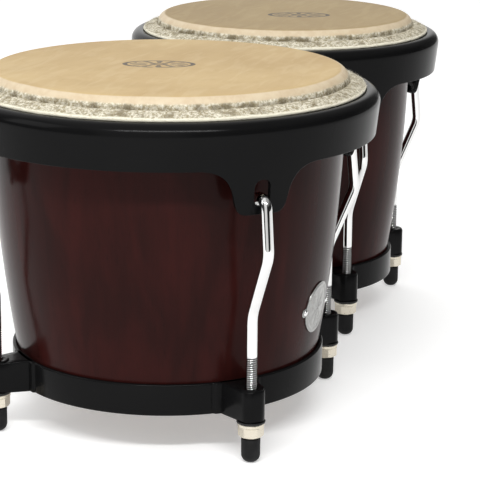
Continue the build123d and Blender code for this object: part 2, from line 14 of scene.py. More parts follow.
import bmesh
import bpy
import numpy as np
from mathutils import Matrix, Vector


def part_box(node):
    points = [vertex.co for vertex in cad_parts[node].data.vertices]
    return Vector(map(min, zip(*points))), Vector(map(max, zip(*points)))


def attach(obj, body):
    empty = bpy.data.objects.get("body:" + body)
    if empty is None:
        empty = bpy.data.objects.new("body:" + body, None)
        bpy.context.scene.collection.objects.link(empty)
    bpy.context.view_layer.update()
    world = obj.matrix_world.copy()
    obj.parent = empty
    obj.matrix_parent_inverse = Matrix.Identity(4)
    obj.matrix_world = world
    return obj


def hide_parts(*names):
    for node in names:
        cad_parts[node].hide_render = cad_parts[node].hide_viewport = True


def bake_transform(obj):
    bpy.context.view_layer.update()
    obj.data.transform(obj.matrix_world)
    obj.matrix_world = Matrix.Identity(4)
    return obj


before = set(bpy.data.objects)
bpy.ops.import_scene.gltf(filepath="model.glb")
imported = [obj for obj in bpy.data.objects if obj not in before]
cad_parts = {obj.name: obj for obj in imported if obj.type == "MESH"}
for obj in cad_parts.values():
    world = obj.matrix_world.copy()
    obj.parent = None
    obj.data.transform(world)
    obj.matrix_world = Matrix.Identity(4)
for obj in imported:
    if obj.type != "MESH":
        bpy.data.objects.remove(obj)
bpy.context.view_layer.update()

# %% [markdown]
# ## The two drums in numbers
#
# A drum is round, so a node's box gives its axis, its radius and its heights. The lengths
# here are millimetres, which are easier to read than 0.00635, and one factor turns them into
# Blender's metres at the very end.

# %% Read each drum's sizes from the frame
MM = 0.001
PLACES = {"back_right": 45, "back_left": 135, "front_left": 225, "front_right": 315}
LUG_INSET = 14.5  # lower rod axis, inside the rim's outside
ROD_RADIUS = 3.175


def box_mm(node):
    """Lowest and highest corner of a node, in millimetres."""
    low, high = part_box(node)
    return np.array(low) / MM, np.array(high) / MM


def read_drum(name):
    """Axis, radii and heights of one drum, read from its nodes' boxes."""
    rim_low, rim_high = box_mm(f"{name}_rim")
    ring_low, ring_high = box_mm(f"{name}_bottom_ring")
    shell_low, shell_high = box_mm(f"{name}_shell")
    skin_low, skin_high = box_mm(f"{name}_skin")
    return {
        "name": name,
        "x": (rim_low[0] + rim_high[0]) / 2,
        "rim": (rim_high[0] - rim_low[0]) / 2,
        "ring": (ring_high[0] - ring_low[0]) / 2,
        "ear_bottom": rim_low[2],
        "rim_top": rim_high[2],
        "ring_bottom": ring_low[2],
        "shell_bottom": shell_low[2],
        "shell_top": shell_high[2],
        "top": skin_high[2],
        "crown": (skin_high[0] - skin_low[0]) / 2,
    }


DRUMS = [read_drum("hembra"), read_drum("macho")]
for drum in DRUMS:
    print(drum["name"], {k: round(float(v), 1) for k, v in drum.items() if k != "name"})

# %% [markdown]
# ## Camera, floor and light
#
# The drums are seen from the front left and a little above, through a long lens, so that
# upright lines stay nearly upright. A camera looks along its own -Z, so its matrix is made of
# three directions: right, up and backwards.

# %% Camera
CAMERA_PLACE = (-1.14951, -0.37998, 0.38797)
CAMERA_HEADING = math.radians(17.867)  # from +X towards +Y
CAMERA_PITCH = math.radians(14.527)  # downwards
CAMERA_ROLL = math.radians(0.468)

ahead = np.array(
    [
        math.cos(CAMERA_HEADING) * math.cos(CAMERA_PITCH),
        math.sin(CAMERA_HEADING) * math.cos(CAMERA_PITCH),
        -math.sin(CAMERA_PITCH),
    ]
)
level = np.array([math.sin(CAMERA_HEADING), -math.cos(CAMERA_HEADING), 0.0])
above = np.cross(level, ahead)
right = level * math.cos(CAMERA_ROLL) + above * math.sin(CAMERA_ROLL)
up = above * math.cos(CAMERA_ROLL) - level * math.sin(CAMERA_ROLL)

lens = bpy.data.cameras.new("camera")
lens.lens = 146.53
lens.sensor_width = 36.0
lens.clip_start = 0.01
lens.clip_end = 100.0
camera = bpy.data.objects.new("camera", lens)
bpy.context.scene.collection.objects.link(camera)
pose = np.eye(4)
pose[:3, 0], pose[:3, 1], pose[:3, 2], pose[:3, 3] = right, up, -ahead, CAMERA_PLACE
camera.matrix_world = Matrix(pose)
bpy.context.scene.camera = camera
bpy.context.scene.view_settings.view_transform = "Standard"
print("camera", round(float(np.linalg.norm(np.array(CAMERA_PLACE))), 3), "m from the middle")

# %% [markdown]
# ## Writing shaders as arithmetic
#
# A procedural material is arithmetic on positions: noise times something, plus something
# else. Dragging wires between boxes hides that, so a small class wraps a socket and lets
# Python's own operators add the Math nodes. Everything else goes through one method that
# makes a node of any type.

# %% Sockets that can be added and multiplied
class Signal:
    """A node's output that Python's operators can be used on."""

    def __init__(self, graph, socket):
        self.graph = graph
        self.socket = socket

    def __add__(self, other):
        return self.graph.maths("ADD", self, other)

    __radd__ = __add__

    def __sub__(self, other):
        return self.graph.maths("SUBTRACT", self, other)

    def __rsub__(self, other):
        return self.graph.maths("SUBTRACT", other, self)

    def __mul__(self, other):
        return self.graph.maths("MULTIPLY", self, other)

    __rmul__ = __mul__

    def __truediv__(self, other):
        return self.graph.maths("DIVIDE", self, other)

    def __pow__(self, other):
        return self.graph.maths("POWER", self, other)


class Graph:
    """The node tree of one material or of the world."""

    def __init__(self, tree):
        self.tree = tree
        self.tree.nodes.clear()

    def node(self, kind, settings=None, sockets=None, output=0):
        """Add a node: its settings first, then the values or links of its sockets."""
        made = self.tree.nodes.new(kind)
        for key, value in (settings or {}).items():
            if key == "stops":
                ramp = made.color_ramp
                while len(ramp.elements) < len(value):
                    ramp.elements.new(0.5)
                for element, (place, colour) in zip(ramp.elements, value):
                    element.position = place
                    element.color = (*colour, 1.0)
            else:
                setattr(made, key, value)
        for key, value in (sockets or {}).items():
            if isinstance(value, Signal):
                self.tree.links.new(value.socket, made.inputs[key])
            elif value is not None:
                made.inputs[key].default_value = value
        return Signal(self, made.outputs[output]) if made.outputs else made

    def maths(self, operation, a, b=None, c=None):
        """One step of arithmetic."""
        return self.node("ShaderNodeMath", {"operation": operation}, {0: a, 1: b, 2: c})

    def clamp(self, value, low=0.0, high=1.0):
        return self.node("ShaderNodeClamp", {}, {0: value, 1: low, 2: high})

    def step(self, value, start, end):
        """0 before start, 1 after end and a smooth rise between them."""
        settings = {"interpolation_type": "SMOOTHSTEP"}
        return self.node("ShaderNodeMapRange", settings, {0: value, 1: start, 2: end, 3: 0.0, 4: 1.0})

    def mix(self, share, a, b):
        """From colour a to colour b."""
        a, b = (v if isinstance(v, Signal) else (*v, 1.0) for v in (a, b))
        return self.node("ShaderNodeMix", {"data_type": "RGBA"}, {0: share, 6: a, 7: b}, output=2)

    def place(self, stretch=(1, 1, 1), source="Object", move=(0, 0, 0)):
        """Object coordinates or UVs, moved and then stretched along the three axes."""
        found = self.node("ShaderNodeTexCoord", output=source)
        moved = self.node("ShaderNodeVectorMath", {"operation": "SUBTRACT"}, {0: found, 1: move})
        return self.node("ShaderNodeVectorMath", {"operation": "MULTIPLY"}, {0: moved, 1: stretch})

    def noise(self, where, scale, detail=3.0, roughness=0.55, distortion=0.0):
        """Cloudy values around 0.5."""
        sockets = {"Vector": where, "Scale": scale, "Detail": detail}
        sockets.update({"Roughness": roughness, "Distortion": distortion})
        return self.node("ShaderNodeTexNoise", {}, sockets)

    def attribute(self, name):
        """A number stored on the piece's vertices."""
        return self.node("ShaderNodeAttribute", {"attribute_name": name}, output="Fac")

    def bump(self, height, distance, strength=1.0, under=None):
        """Turns a height in metres times distance into a tilted normal."""
        sockets = {"Height": height, "Distance": distance, "Strength": strength, "Normal": under}
        return self.node("ShaderNodeBump", {}, sockets)


def finish(name, paint):
    """A material whose surface sockets are what paint(graph) returns, as a dictionary."""
    material = bpy.data.materials.new(name)
    material.use_nodes = True
    graph = Graph(material.node_tree)
    sockets = paint(graph)
    for key in ("Base Color", "Emission Color", "Coat Tint", "Sheen Tint"):
        if isinstance(sockets.get(key), tuple):
            sockets[key] = (*sockets[key], 1.0)
    surface = graph.node("ShaderNodeBsdfPrincipled", {}, sockets)
    graph.node("ShaderNodeOutputMaterial", {}, {"Surface": surface})
    print("finish:", name, len(material.node_tree.nodes), "nodes")
    return material


# %% [markdown]
# The room is a white studio. Glossy black and chrome only look right when they have something
# to reflect, so the room is bright behind and beside the drums and darker on the viewer's
# side, with dark panels that draw the thin dark lines down the chrome.

# %% World
def paint_world():
    """White behind, dim overhead and in front, with a black flag along the right-hand side."""
    world = bpy.data.worlds.new("studio")
    bpy.context.scene.world = world
    world.use_nodes = True
    graph = Graph(world.node_tree)
    direction = graph.node("ShaderNodeTexCoord", output="Generated")

    def along(axis):
        sockets = {0: direction, 1: tuple(float(v) for v in axis)}
        return graph.node("ShaderNodeVectorMath", {"operation": "DOT_PRODUCT"}, sockets, "Value")

    away = np.array([math.cos(CAMERA_HEADING), math.sin(CAMERA_HEADING), 0.0])
    behind = along(away)
    side = along(level)
    height = along((0, 0, 1))
    back = graph.step(behind, 0.28, 0.70)
    ceiling = 0.42 * graph.step(height, 0.30, 0.80)
    front = 0.06 + 0.80 * graph.step(side, -0.62, -0.50) * graph.step(side, 0.30, 0.18)
    panel = graph.step(side, 0.12, 0.34)
    wall = graph.clamp(back + front) * (1 - 0.9 * panel)
    bright = graph.clamp(wall + ceiling)
    strength = graph.clamp(bright, 0.02, 1.0)
    light = graph.node("ShaderNodeBackground", {}, {0: (1.0, 0.995, 0.985, 1.0), 1: strength})
    seen = graph.node("ShaderNodeBackground", {}, {0: (1.0, 1.0, 1.0, 1.0), 1: 1.0})
    eye = graph.node("ShaderNodeLightPath", output="Is Camera Ray")
    both = graph.node("ShaderNodeMixShader", {}, {0: eye, 1: light, 2: seen})
    graph.node("ShaderNodeOutputWorld", {}, {"Surface": both})


paint_world()

# %% Floor and lamps
def paint_floor(graph):
    cloud = graph.noise(graph.place(), 9.0, 4.0)
    tone = graph.mix(cloud, (0.86, 0.86, 0.86), (0.90, 0.90, 0.895))
    return {
        "Base Color": tone, "Roughness": 0.65, "Specular IOR Level": 0.2,
        "Emission Color": (1.0, 1.0, 1.0), "Emission Strength": 0.38,
    }


FLOOR_REACH = 7.0
FLOOR_FRONT = 0.95  # the table ends here, so polished rods mirror its edge as a dark line
corners = [(-FLOOR_FRONT / FLOOR_REACH, -1), (1, -1), (1, 1), (-FLOOR_FRONT / FLOOR_REACH, 1)]
ground = bpy.data.meshes.new("floor")
ground.from_pydata([(FLOOR_REACH * x, FLOOR_REACH * y, 0.0) for x, y in corners], [], [(0, 1, 2, 3)])
floor = bpy.data.objects.new("floor", ground)
ground.materials.append(finish("studio_floor", paint_floor))
bpy.context.scene.collection.objects.link(floor)


def lamp(name, place, target, width, height, watts):
    """A soft rectangular lamp at a place, turned to face a target."""
    data = bpy.data.lights.new(name, "AREA")
    data.shape = "RECTANGLE"
    data.size, data.size_y, data.energy = width, height, watts
    made = bpy.data.objects.new(name, data)
    bpy.context.scene.collection.objects.link(made)
    back = np.array(place, float) - np.array(target, float)
    back /= np.linalg.norm(back)
    across = np.cross((0, 0, 1), back)
    across /= np.linalg.norm(across)
    turn = np.eye(4)
    turn[:3, 0], turn[:3, 1], turn[:3, 2], turn[:3, 3] = across, np.cross(back, across), back, place
    made.matrix_world = Matrix(turn)
    return made


lamp("overhead_strip", (-1.16, -0.38, 1.30), (-0.1, 0, 0.2), 1.3, 0.13, 19.0)
lamp("left_softbox", (-0.9, 1.3, 1.0), (-0.1, 0, 0.1), 0.9, 0.9, 5.0)

# %% [markdown]
# ## Making a surface from a grid
#
# Nearly every piece is a grid of points: rows run along a profile, columns run round the
# piece. One function numbers the quads of such a grid, another turns points and quads into a
# Blender mesh. If rows run upwards on the outside and columns run anticlockwise seen from
# above, every face points outwards.

# %% Grids and meshes
def unit(vectors):
    """Vectors of length 1."""
    return vectors / np.maximum(np.linalg.norm(vectors, axis=-1, keepdims=True), 1e-12)


def quads(rows, columns, round_rows=False, round_columns=True):
    """Quads of a grid: corner (i, j), (i, j+1), (i+1, j+1), (i+1, j), as point numbers."""
    number = np.arange(rows * columns).reshape(rows, columns)
    if round_rows:
        number = np.vstack([number, number[:1]])
    if round_columns:
        number = np.hstack([number, number[:, :1]])
    corners = [number[:-1, :-1], number[:-1, 1:], number[1:, 1:], number[1:, :-1]]
    return np.stack(corners, -1).reshape(-1, 4)


def piece(name, points, faces, material, body=None, stored=None, uv=None, sharp=38.0):
    """A finished piece: points in millimetres, faces, one material and the body it rides on.

    Points that lie together become one, so that poles and seams are closed. Edges bent by
    more than the sharp angle, in degrees, stay crisp. Stored is a number for each point.
    """
    mesh = bpy.data.meshes.new(name)
    mesh.from_pydata((points.reshape(-1, 3) * MM).tolist(), [], faces.tolist())
    for key, value in (stored or {}).items():
        layer = mesh.attributes.new(key, "FLOAT", "POINT")
        layer.data.foreach_set("value", np.asarray(value, np.float32).ravel())
    if uv is not None:
        layer = mesh.uv_layers.new(name="UVMap")
        layer.data.foreach_set("uv", np.asarray(uv, np.float32).ravel())
    joined = bmesh.new()
    joined.from_mesh(mesh)
    bmesh.ops.remove_doubles(joined, verts=joined.verts, dist=1e-6)
    joined.to_mesh(mesh)
    joined.free()
    mesh.shade_smooth()
    mesh.set_sharp_from_angle(angle=math.radians(sharp))
    mesh.materials.append(material)
    made = bpy.data.objects.new(name, mesh)
    bpy.context.scene.collection.objects.link(made)
    if body is not None:
        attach(made, body)
    print(name, len(mesh.vertices), "points", len(mesh.polygons), "faces")
    return made


def turned(profile, angles, x=0.0, y=0.0):
    """A profile of (radius, height) carried round an upright axis: (x + r cos a, y + r sin a, z)."""
    radius, height = np.asarray(profile, float).T
    return np.stack(
        [
            x + radius[:, None] * np.cos(angles),
            y + radius[:, None] * np.sin(angles),
            height[:, None] + 0 * angles,
        ],
        -1,
    )


def full_turn(count):
    """Equal angles all the way round."""
    return np.linspace(0, 2 * np.pi, count, endpoint=False)


def rounded(points, radius, steps=5, closed=True):
    """An outline whose corners are arcs.

    Each arc starts and ends radius x tan(half the turn) from its corner. Its points swing
    between the two spokes a and b of the arc: sin((1-s)t)/sin t x a + sin(st)/sin t x b.
    """
    points = np.asarray(points, float)
    radius = np.broadcast_to(np.asarray(radius, float), len(points))
    come = unit(points - np.roll(points, 1, 0))
    go = unit(np.roll(points, -1, 0) - points)
    turn = np.arccos(np.clip((come * go).sum(1), -1, 1))
    cut = (radius * np.tan(turn / 2))[:, None]
    centre = points + unit(go - come) * (radius / np.cos(turn / 2))[:, None]
    start, end = points - come * cut - centre, points + go * cut - centre
    share = np.linspace(0, 1, steps)[None, :, None]
    angle = np.maximum(turn, 1e-6)[:, None, None]
    swing = np.sin((1 - share) * angle) * start[:, None] + np.sin(share * angle) * end[:, None]
    arcs = centre[:, None] + swing / np.sin(angle)
    if closed:
        return arcs.reshape(-1, points.shape[1])
    return np.vstack([points[:1], arcs[1:-1].reshape(-1, points.shape[1]), points[-1:]])




# %% [markdown]
# ## The shell
#
# A bongo shell is glued up from staves like a small barrel: straight where the bottom ring
# holds it, slightly swollen above, straight again under the skin. It is stained nearly black
# with a red undertone and then lacquered to a gloss. Turning a profile gives the form. The
# UVs unroll the shell, so that the grain can run up each stave.

# %% Shell surface
SHELL_WALL = 8.5
SHELL_BULGE = 2.7
RING_HEIGHT = 18.0
RING_SHEET = 2.5  # ring wall and its gap to the wood
EDGE_INSET = 19.4  # bearing edge, inside the rim's outside
EDGE_ROUNDING = 5.0
NECK_HEIGHT = 16.6


def stave_radius(drum, height):
    """Outside of the wood at a height: straight in the ring, an arc, straight in the neck.

    The arc goes through the seat, the neck and a middle point that stands out by the bulge,
    so across the staves the radius is the chord's plus 4 x bulge x t x (1 - t).
    """
    seat, neck = drum["ring"] - RING_SHEET, drum["rim"] - EDGE_INSET
    low, high = drum["ring_bottom"] + RING_HEIGHT, drum["shell_top"] - NECK_HEIGHT
    share = np.clip((np.asarray(height, float) - low) / (high - low), 0, 1)
    return seat + (neck - seat) * share + 4 * SHELL_BULGE * share * (1 - share)


def make_shell(drum):
    """Closed profile of the wall, up the outside and down the inside, turned round."""
    low, high = drum["shell_bottom"], drum["shell_top"]
    sides = np.linspace(low, high - EDGE_ROUNDING, 46)
    swing = np.linspace(0, np.pi / 2, 7)[1:]
    neck = drum["rim"] - EDGE_INSET
    edge_r = neck - EDGE_ROUNDING + EDGE_ROUNDING * np.cos(swing)
    edge_z = high - EDGE_ROUNDING + EDGE_ROUNDING * np.sin(swing)
    outside = np.stack([stave_radius(drum, sides) - 0.02, sides], 1)
    bevel = np.array([[neck - SHELL_WALL + 0.4, high], [neck - SHELL_WALL, high - 3.0]])
    inner_z = np.linspace(high - 5.0, low, 30)
    inside = np.stack([stave_radius(drum, inner_z) - SHELL_WALL, inner_z], 1)
    profile = np.vstack([outside, np.stack([edge_r, edge_z], 1), bevel, inside])
    angles = full_turn(200)
    points = turned(profile, angles, drum["x"])
    run = np.concatenate([[0], np.cumsum(np.linalg.norm(np.diff(profile, axis=0), axis=1))])
    rows, columns = len(profile), len(angles)
    i, j = np.meshgrid(np.arange(rows), np.arange(columns), indexing="ij")
    across = np.array([0, 1, 1, 0]) + j.ravel()[:, None]
    along = (np.array([0, 0, 1, 1]) + i.ravel()[:, None]) % rows
    uv = np.stack([across / columns * 2 * np.pi * drum["ring"] * MM, run[along] * MM], -1)
    wood = piece(
        f"{drum['name']}_staves", points, quads(rows, columns, True), SHELL_WOOD,
        "frame", {"inside": np.repeat(np.arange(rows) > 54, columns)}, uv,
    )
    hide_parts(f"{drum['name']}_shell")


# %% Stained and lacquered wood
STAVES = 16


def paint_shell(graph):
    """Fibres stretched along the staves, a tone for each stave and a dark gloss lacquer."""
    unrolled = graph.node("ShaderNodeTexCoord", output="UV")

    def stretched(by):
        return graph.node("ShaderNodeVectorMath", {"operation": "MULTIPLY"}, {0: unrolled, 1: by})

    grain = graph.noise(stretched((900.0, 26.0, 1.0)), 1.0, 5.0, 0.6, 0.4)
    cloud = graph.noise(stretched((46.0, 11.0, 1.0)), 1.0, 3.0, 0.5, 0.8)
    pore = graph.step(graph.noise(stretched((2600.0, 130.0, 1.0)), 1.0, 2.0, 0.5), 0.60, 0.72)
    around = graph.node("ShaderNodeSeparateXYZ", {}, {0: unrolled}, "X")
    stave = graph.maths("FLOOR", around * (STAVES / (2 * math.pi * 0.0916)))
    tone = graph.node("ShaderNodeTexWhiteNoise", {"noise_dimensions": "1D"}, {"W": stave}, "Value")
    red = graph.clamp(0.45 * graph.step(cloud, 0.35, 0.72) + 0.30 * grain + 0.22 * tone)
    dark = graph.mix(red, (0.0105, 0.0038, 0.0034), (0.037, 0.0072, 0.0062))
    dark = graph.mix(0.55 * pore, dark, (0.006, 0.004, 0.0035))
    bare = graph.mix(grain, (0.30, 0.17, 0.085), (0.42, 0.26, 0.14))
    inside = graph.attribute("inside")
    return {
        "Base Color": graph.mix(inside, dark, bare),
        "Roughness": graph.clamp(0.16 + 0.06 * cloud + 0.45 * inside, 0.0, 1.0),
        "IOR": 1.145,
        "Normal": graph.bump(0.7 * grain + 0.3 * cloud - 0.25 * pore, 0.00012, 0.25),
    }


SHELL_WOOD = finish("stained_shell", paint_shell)
for drum in DRUMS:
    make_shell(drum)

# %% [markdown]
# ## The rim
#
# The rim is pressed from 3 mm steel sheet: its top edge is rolled over, its wall leans in
# towards the bottom, and four bell-shaped ears hang from it, each with a slot for a lug's
# hook. It is modelled as one skin of points, which the Solidify modifier turns into sheet and
# the Bevel modifier gives soft edges. The columns follow the ear's outline, so its curve is as
# smooth as the real pressing, and the slot is a patch of its own: rings of points that change
# step by step from the patch's border into the rounded slot.

# %% Rim outline
RIM_SHEET = 3.0
ROLL_RADIUS = 6.5
RIM_LEAN = math.radians(6.5)
BAND_HEIGHT = 25.5
LIP_LENGTH = 5.0
SLOT_WIDTH, SLOT_HEIGHT, SLOT_CORNER, SLOT_WEB = 9.4, 14.6, 4.2, 4.6


def bezier(a, b, c, d, count):
    """Points of a cubic curve: (1-t)^3 a + 3(1-t)^2 t b + 3(1-t) t^2 c + t^3 d."""
    t = np.linspace(0, 1, count)[:, None]
    a, b, c, d = (np.array(p, float) for p in (a, b, c, d))
    return (1 - t) ** 3 * a + 3 * (1 - t) ** 2 * t * b + 3 * (1 - t) * t**2 * c + t**3 * d


def ear_edge(drum):
    """Lower edge of half an ear as (sideways, height), from its middle out to the band."""
    low = drum["ear_bottom"]
    band = drum["rim_top"] - BAND_HEIGHT
    toe = np.stack([np.linspace(0, 7, 7), np.full(7, low)], 1)
    side = bezier((7, low), (13, low), (14.5, low + 2), (16, low + 9), 12)
    shoulder = bezier((16, low + 9), (17.5, low + 16), (21, band), (36, band), 26)
    return np.vstack([toe, side[1:], shoulder[1:]])


def roll_centre(drum):
    """(radius, height) of the middle of the rolled top."""
    return drum["rim"] - ROLL_RADIUS, drum["rim_top"] - ROLL_RADIUS


def wall_radius(drum, height):
    """Outside of the leaning wall at a height, which touches the roll and leans in below it."""
    centre, level_z = roll_centre(drum)
    start = level_z - ROLL_RADIUS * math.sin(RIM_LEAN)
    return centre + ROLL_RADIUS * math.cos(RIM_LEAN) - (start - height) * math.tan(RIM_LEAN)


def rim_columns(drum):
    """Angle and lower edge of each column, for a quarter of the rim from one ear's middle."""
    half = ear_edge(drum)
    edge = np.vstack([half[:0:-1] * (-1, 1), half])
    swing = np.arcsin(edge[:, 0] / wall_radius(drum, edge[:, 1]))
    gap = np.linspace(swing[-1], np.pi / 2 + swing[0], 26)[1:-1]
    angles = np.concatenate([swing, gap])
    lows = np.concatenate([edge[:, 1], np.full(len(gap), half[-1, 1])])
    return angles, lows, len(edge)


# %% Rim surface
def make_rim(drum):
    """The sheet's outer skin: lip, roll and wall, with the wall cut off at each column's lower edge.

    A wall point lies at height start + v x (low - start), v from 0 to 1. The slot's patch
    replaces the quads around it by rings from the border point B to the slot point S:
    B + t x (S - B).
    """
    angles, lows, ear = rim_columns(drum)
    middle = ear // 2
    angles = np.concatenate([angles + math.radians(a) for a in PLACES.values()])
    lows = np.tile(lows, 4)
    centre, level_z = roll_centre(drum)
    start = level_z - ROLL_RADIUS * math.sin(RIM_LEAN)
    slot_low = drum["ear_bottom"] + SLOT_WEB
    deep = start - drum["ear_bottom"]
    v_top, v_bottom = (start - slot_low - SLOT_HEIGHT - 2.2) / deep, (start - slot_low + 2.2) / deep
    shares = np.concatenate([np.linspace(0, v_top, 9)[1:], np.linspace(v_top, v_bottom, 17)[1:], [1.0]])
    lip = np.stack([np.full(3, centre - ROLL_RADIUS), np.linspace(level_z - LIP_LENGTH, level_z, 3)], 1)
    swing = np.linspace(np.pi, -RIM_LEAN, 22)[1:]
    arc = np.stack([centre + ROLL_RADIUS * np.cos(swing), level_z + ROLL_RADIUS * np.sin(swing)], 1)
    over = turned(np.vstack([lip, arc]), angles, 0.0)
    heights = start + shares[:, None] * (lows - start)
    radius = wall_radius(drum, heights)
    wall = np.stack([radius * np.cos(angles), radius * np.sin(angles), heights], -1)
    points = np.vstack([over, wall])[::-1]
    rows, columns = points.shape[:2]
    faces = quads(rows, columns)
    number = np.arange(rows * columns).reshape(rows, columns)
    quarter = columns // 4
    row_low, row_high = 1, 17
    rings, extra, patches = 4, [], []
    base = rows * columns
    hole = np.zeros((rows, columns), bool)
    outline = rounded(
        [(-SLOT_WIDTH / 2, -SLOT_HEIGHT / 2), (SLOT_WIDTH / 2, -SLOT_HEIGHT / 2),
         (SLOT_WIDTH / 2, SLOT_HEIGHT / 2), (-SLOT_WIDTH / 2, SLOT_HEIGHT / 2)], SLOT_CORNER, 24,
    )
    bearing = np.arctan2(outline[:, 1], outline[:, 0])
    order = np.argsort(bearing)
    for turn in range(4):
        left, right_side = turn * quarter + middle - 6, turn * quarter + middle + 6
        hole[row_low:row_high, left:right_side] = True
        border = np.concatenate(
            [
                number[row_low, left:right_side], number[row_low:row_high, right_side],
                number[row_high, right_side:left:-1], number[row_high:row_low:-1, left],
            ]
        )
        there = points.reshape(-1, 3)[border]
        facing = math.radians(list(PLACES.values())[turn])
        sideways = there @ np.array([-math.sin(facing), math.cos(facing), 0])
        upwards = there[:, 2] - (slot_low + SLOT_HEIGHT / 2)
        aim = np.arctan2(upwards * SLOT_WIDTH / SLOT_HEIGHT * 1.1, sideways)
        size = [np.interp(aim, bearing[order], outline[order, k], period=2 * np.pi) for k in (0, 1)]
        share = np.linspace(0, 1, rings + 1)[1:, None]
        s = sideways + share * (size[0] - sideways)
        z = upwards + share * (size[1] - upwards) + slot_low + SLOT_HEIGHT / 2
        r = wall_radius(drum, z)
        angle = facing + np.arcsin(s / r)
        extra.append(np.stack([r * np.cos(angle), r * np.sin(angle), z], -1).reshape(-1, 3))
        count = len(border)
        ringed = np.vstack([border[None], base + np.arange(rings * count).reshape(rings, count)])
        base += rings * count
        patch = quads(rings + 1, count)
        patches.append(ringed.ravel()[patch])
    keep = ~hole.ravel()[faces[:, 0]]
    points = np.vstack([points.reshape(-1, 3), *extra]) + (drum["x"], 0, 0)
    hoop = piece(
        f"{drum['name']}_pressed_rim", points, np.vstack([faces[keep], *patches]), BLACK_STEEL,
        f"{drum['name']}_hoop",
    )
    sheet = hoop.modifiers.new("sheet", "SOLIDIFY")
    sheet.thickness, sheet.offset = RIM_SHEET * MM, -1.0
    edges = hoop.modifiers.new("edges", "BEVEL")
    edges.width, edges.segments, edges.limit_method = 0.6 * MM, 2, "ANGLE"
    edges.angle_limit, edges.harden_normals = math.radians(50), True
    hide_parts(f"{drum['name']}_rim")


# %% Satin black powder coat
def paint_black(graph):
    """Nearly black paint with the fine orange-peel of baked powder."""
    where = graph.place()
    peel = graph.noise(where, 900.0, 2.0, 0.5)
    cloud = graph.noise(where, 14.0, 3.0)
    dust = graph.step(graph.noise(where, 260.0, 4.0, 0.7), 0.66, 0.80)
    tone = graph.mix(cloud, (0.0036, 0.0036, 0.0039), (0.0062, 0.0062, 0.0063))
    return {
        "Base Color": graph.mix(0.18 * dust, tone, (0.022, 0.022, 0.022)),
        "Roughness": graph.clamp(0.15 + 0.05 * cloud + 0.06 * dust),
        "IOR": 1.15,
        "Normal": graph.bump(peel, 0.00005, 0.35),
    }


BLACK_STEEL = finish("black_steel", paint_black)
for drum in DRUMS:
    make_rim(drum)

# %% [markdown]
# ## The bottom ring
#
# A flat steel band with a narrow flange under it carries the shell. At each lug a pressed
# plate is folded out of the band, runs outwards as a gusset and ends in a bored boss. The
# band is a closed profile turned round, and the plate is a smooth step in its radius. Gusset
# and boss are one closed form: rows of a profile between the bore and an outline.

# %% Ring surface
BAND_WALL = 2.4
FLANGE_REACH, FLANGE_THICKNESS = 9.9, 3.0
PLATE_HALF, PLATE_PROUD = 14.4, 1.1
BOSS_RADIUS, BOSS_RISE, BORE_RADIUS = 7.1, 0.6, 3.675
GUSSET_HALF, GUSSET_BACK = 11.0, 19.0


def smooth(value, start, end):
    """0 before start, 1 after end, 3t^2 - 2t^3 between."""
    t = np.clip((value - start) / (end - start), 0, 1)
    return t * t * (3 - 2 * t)


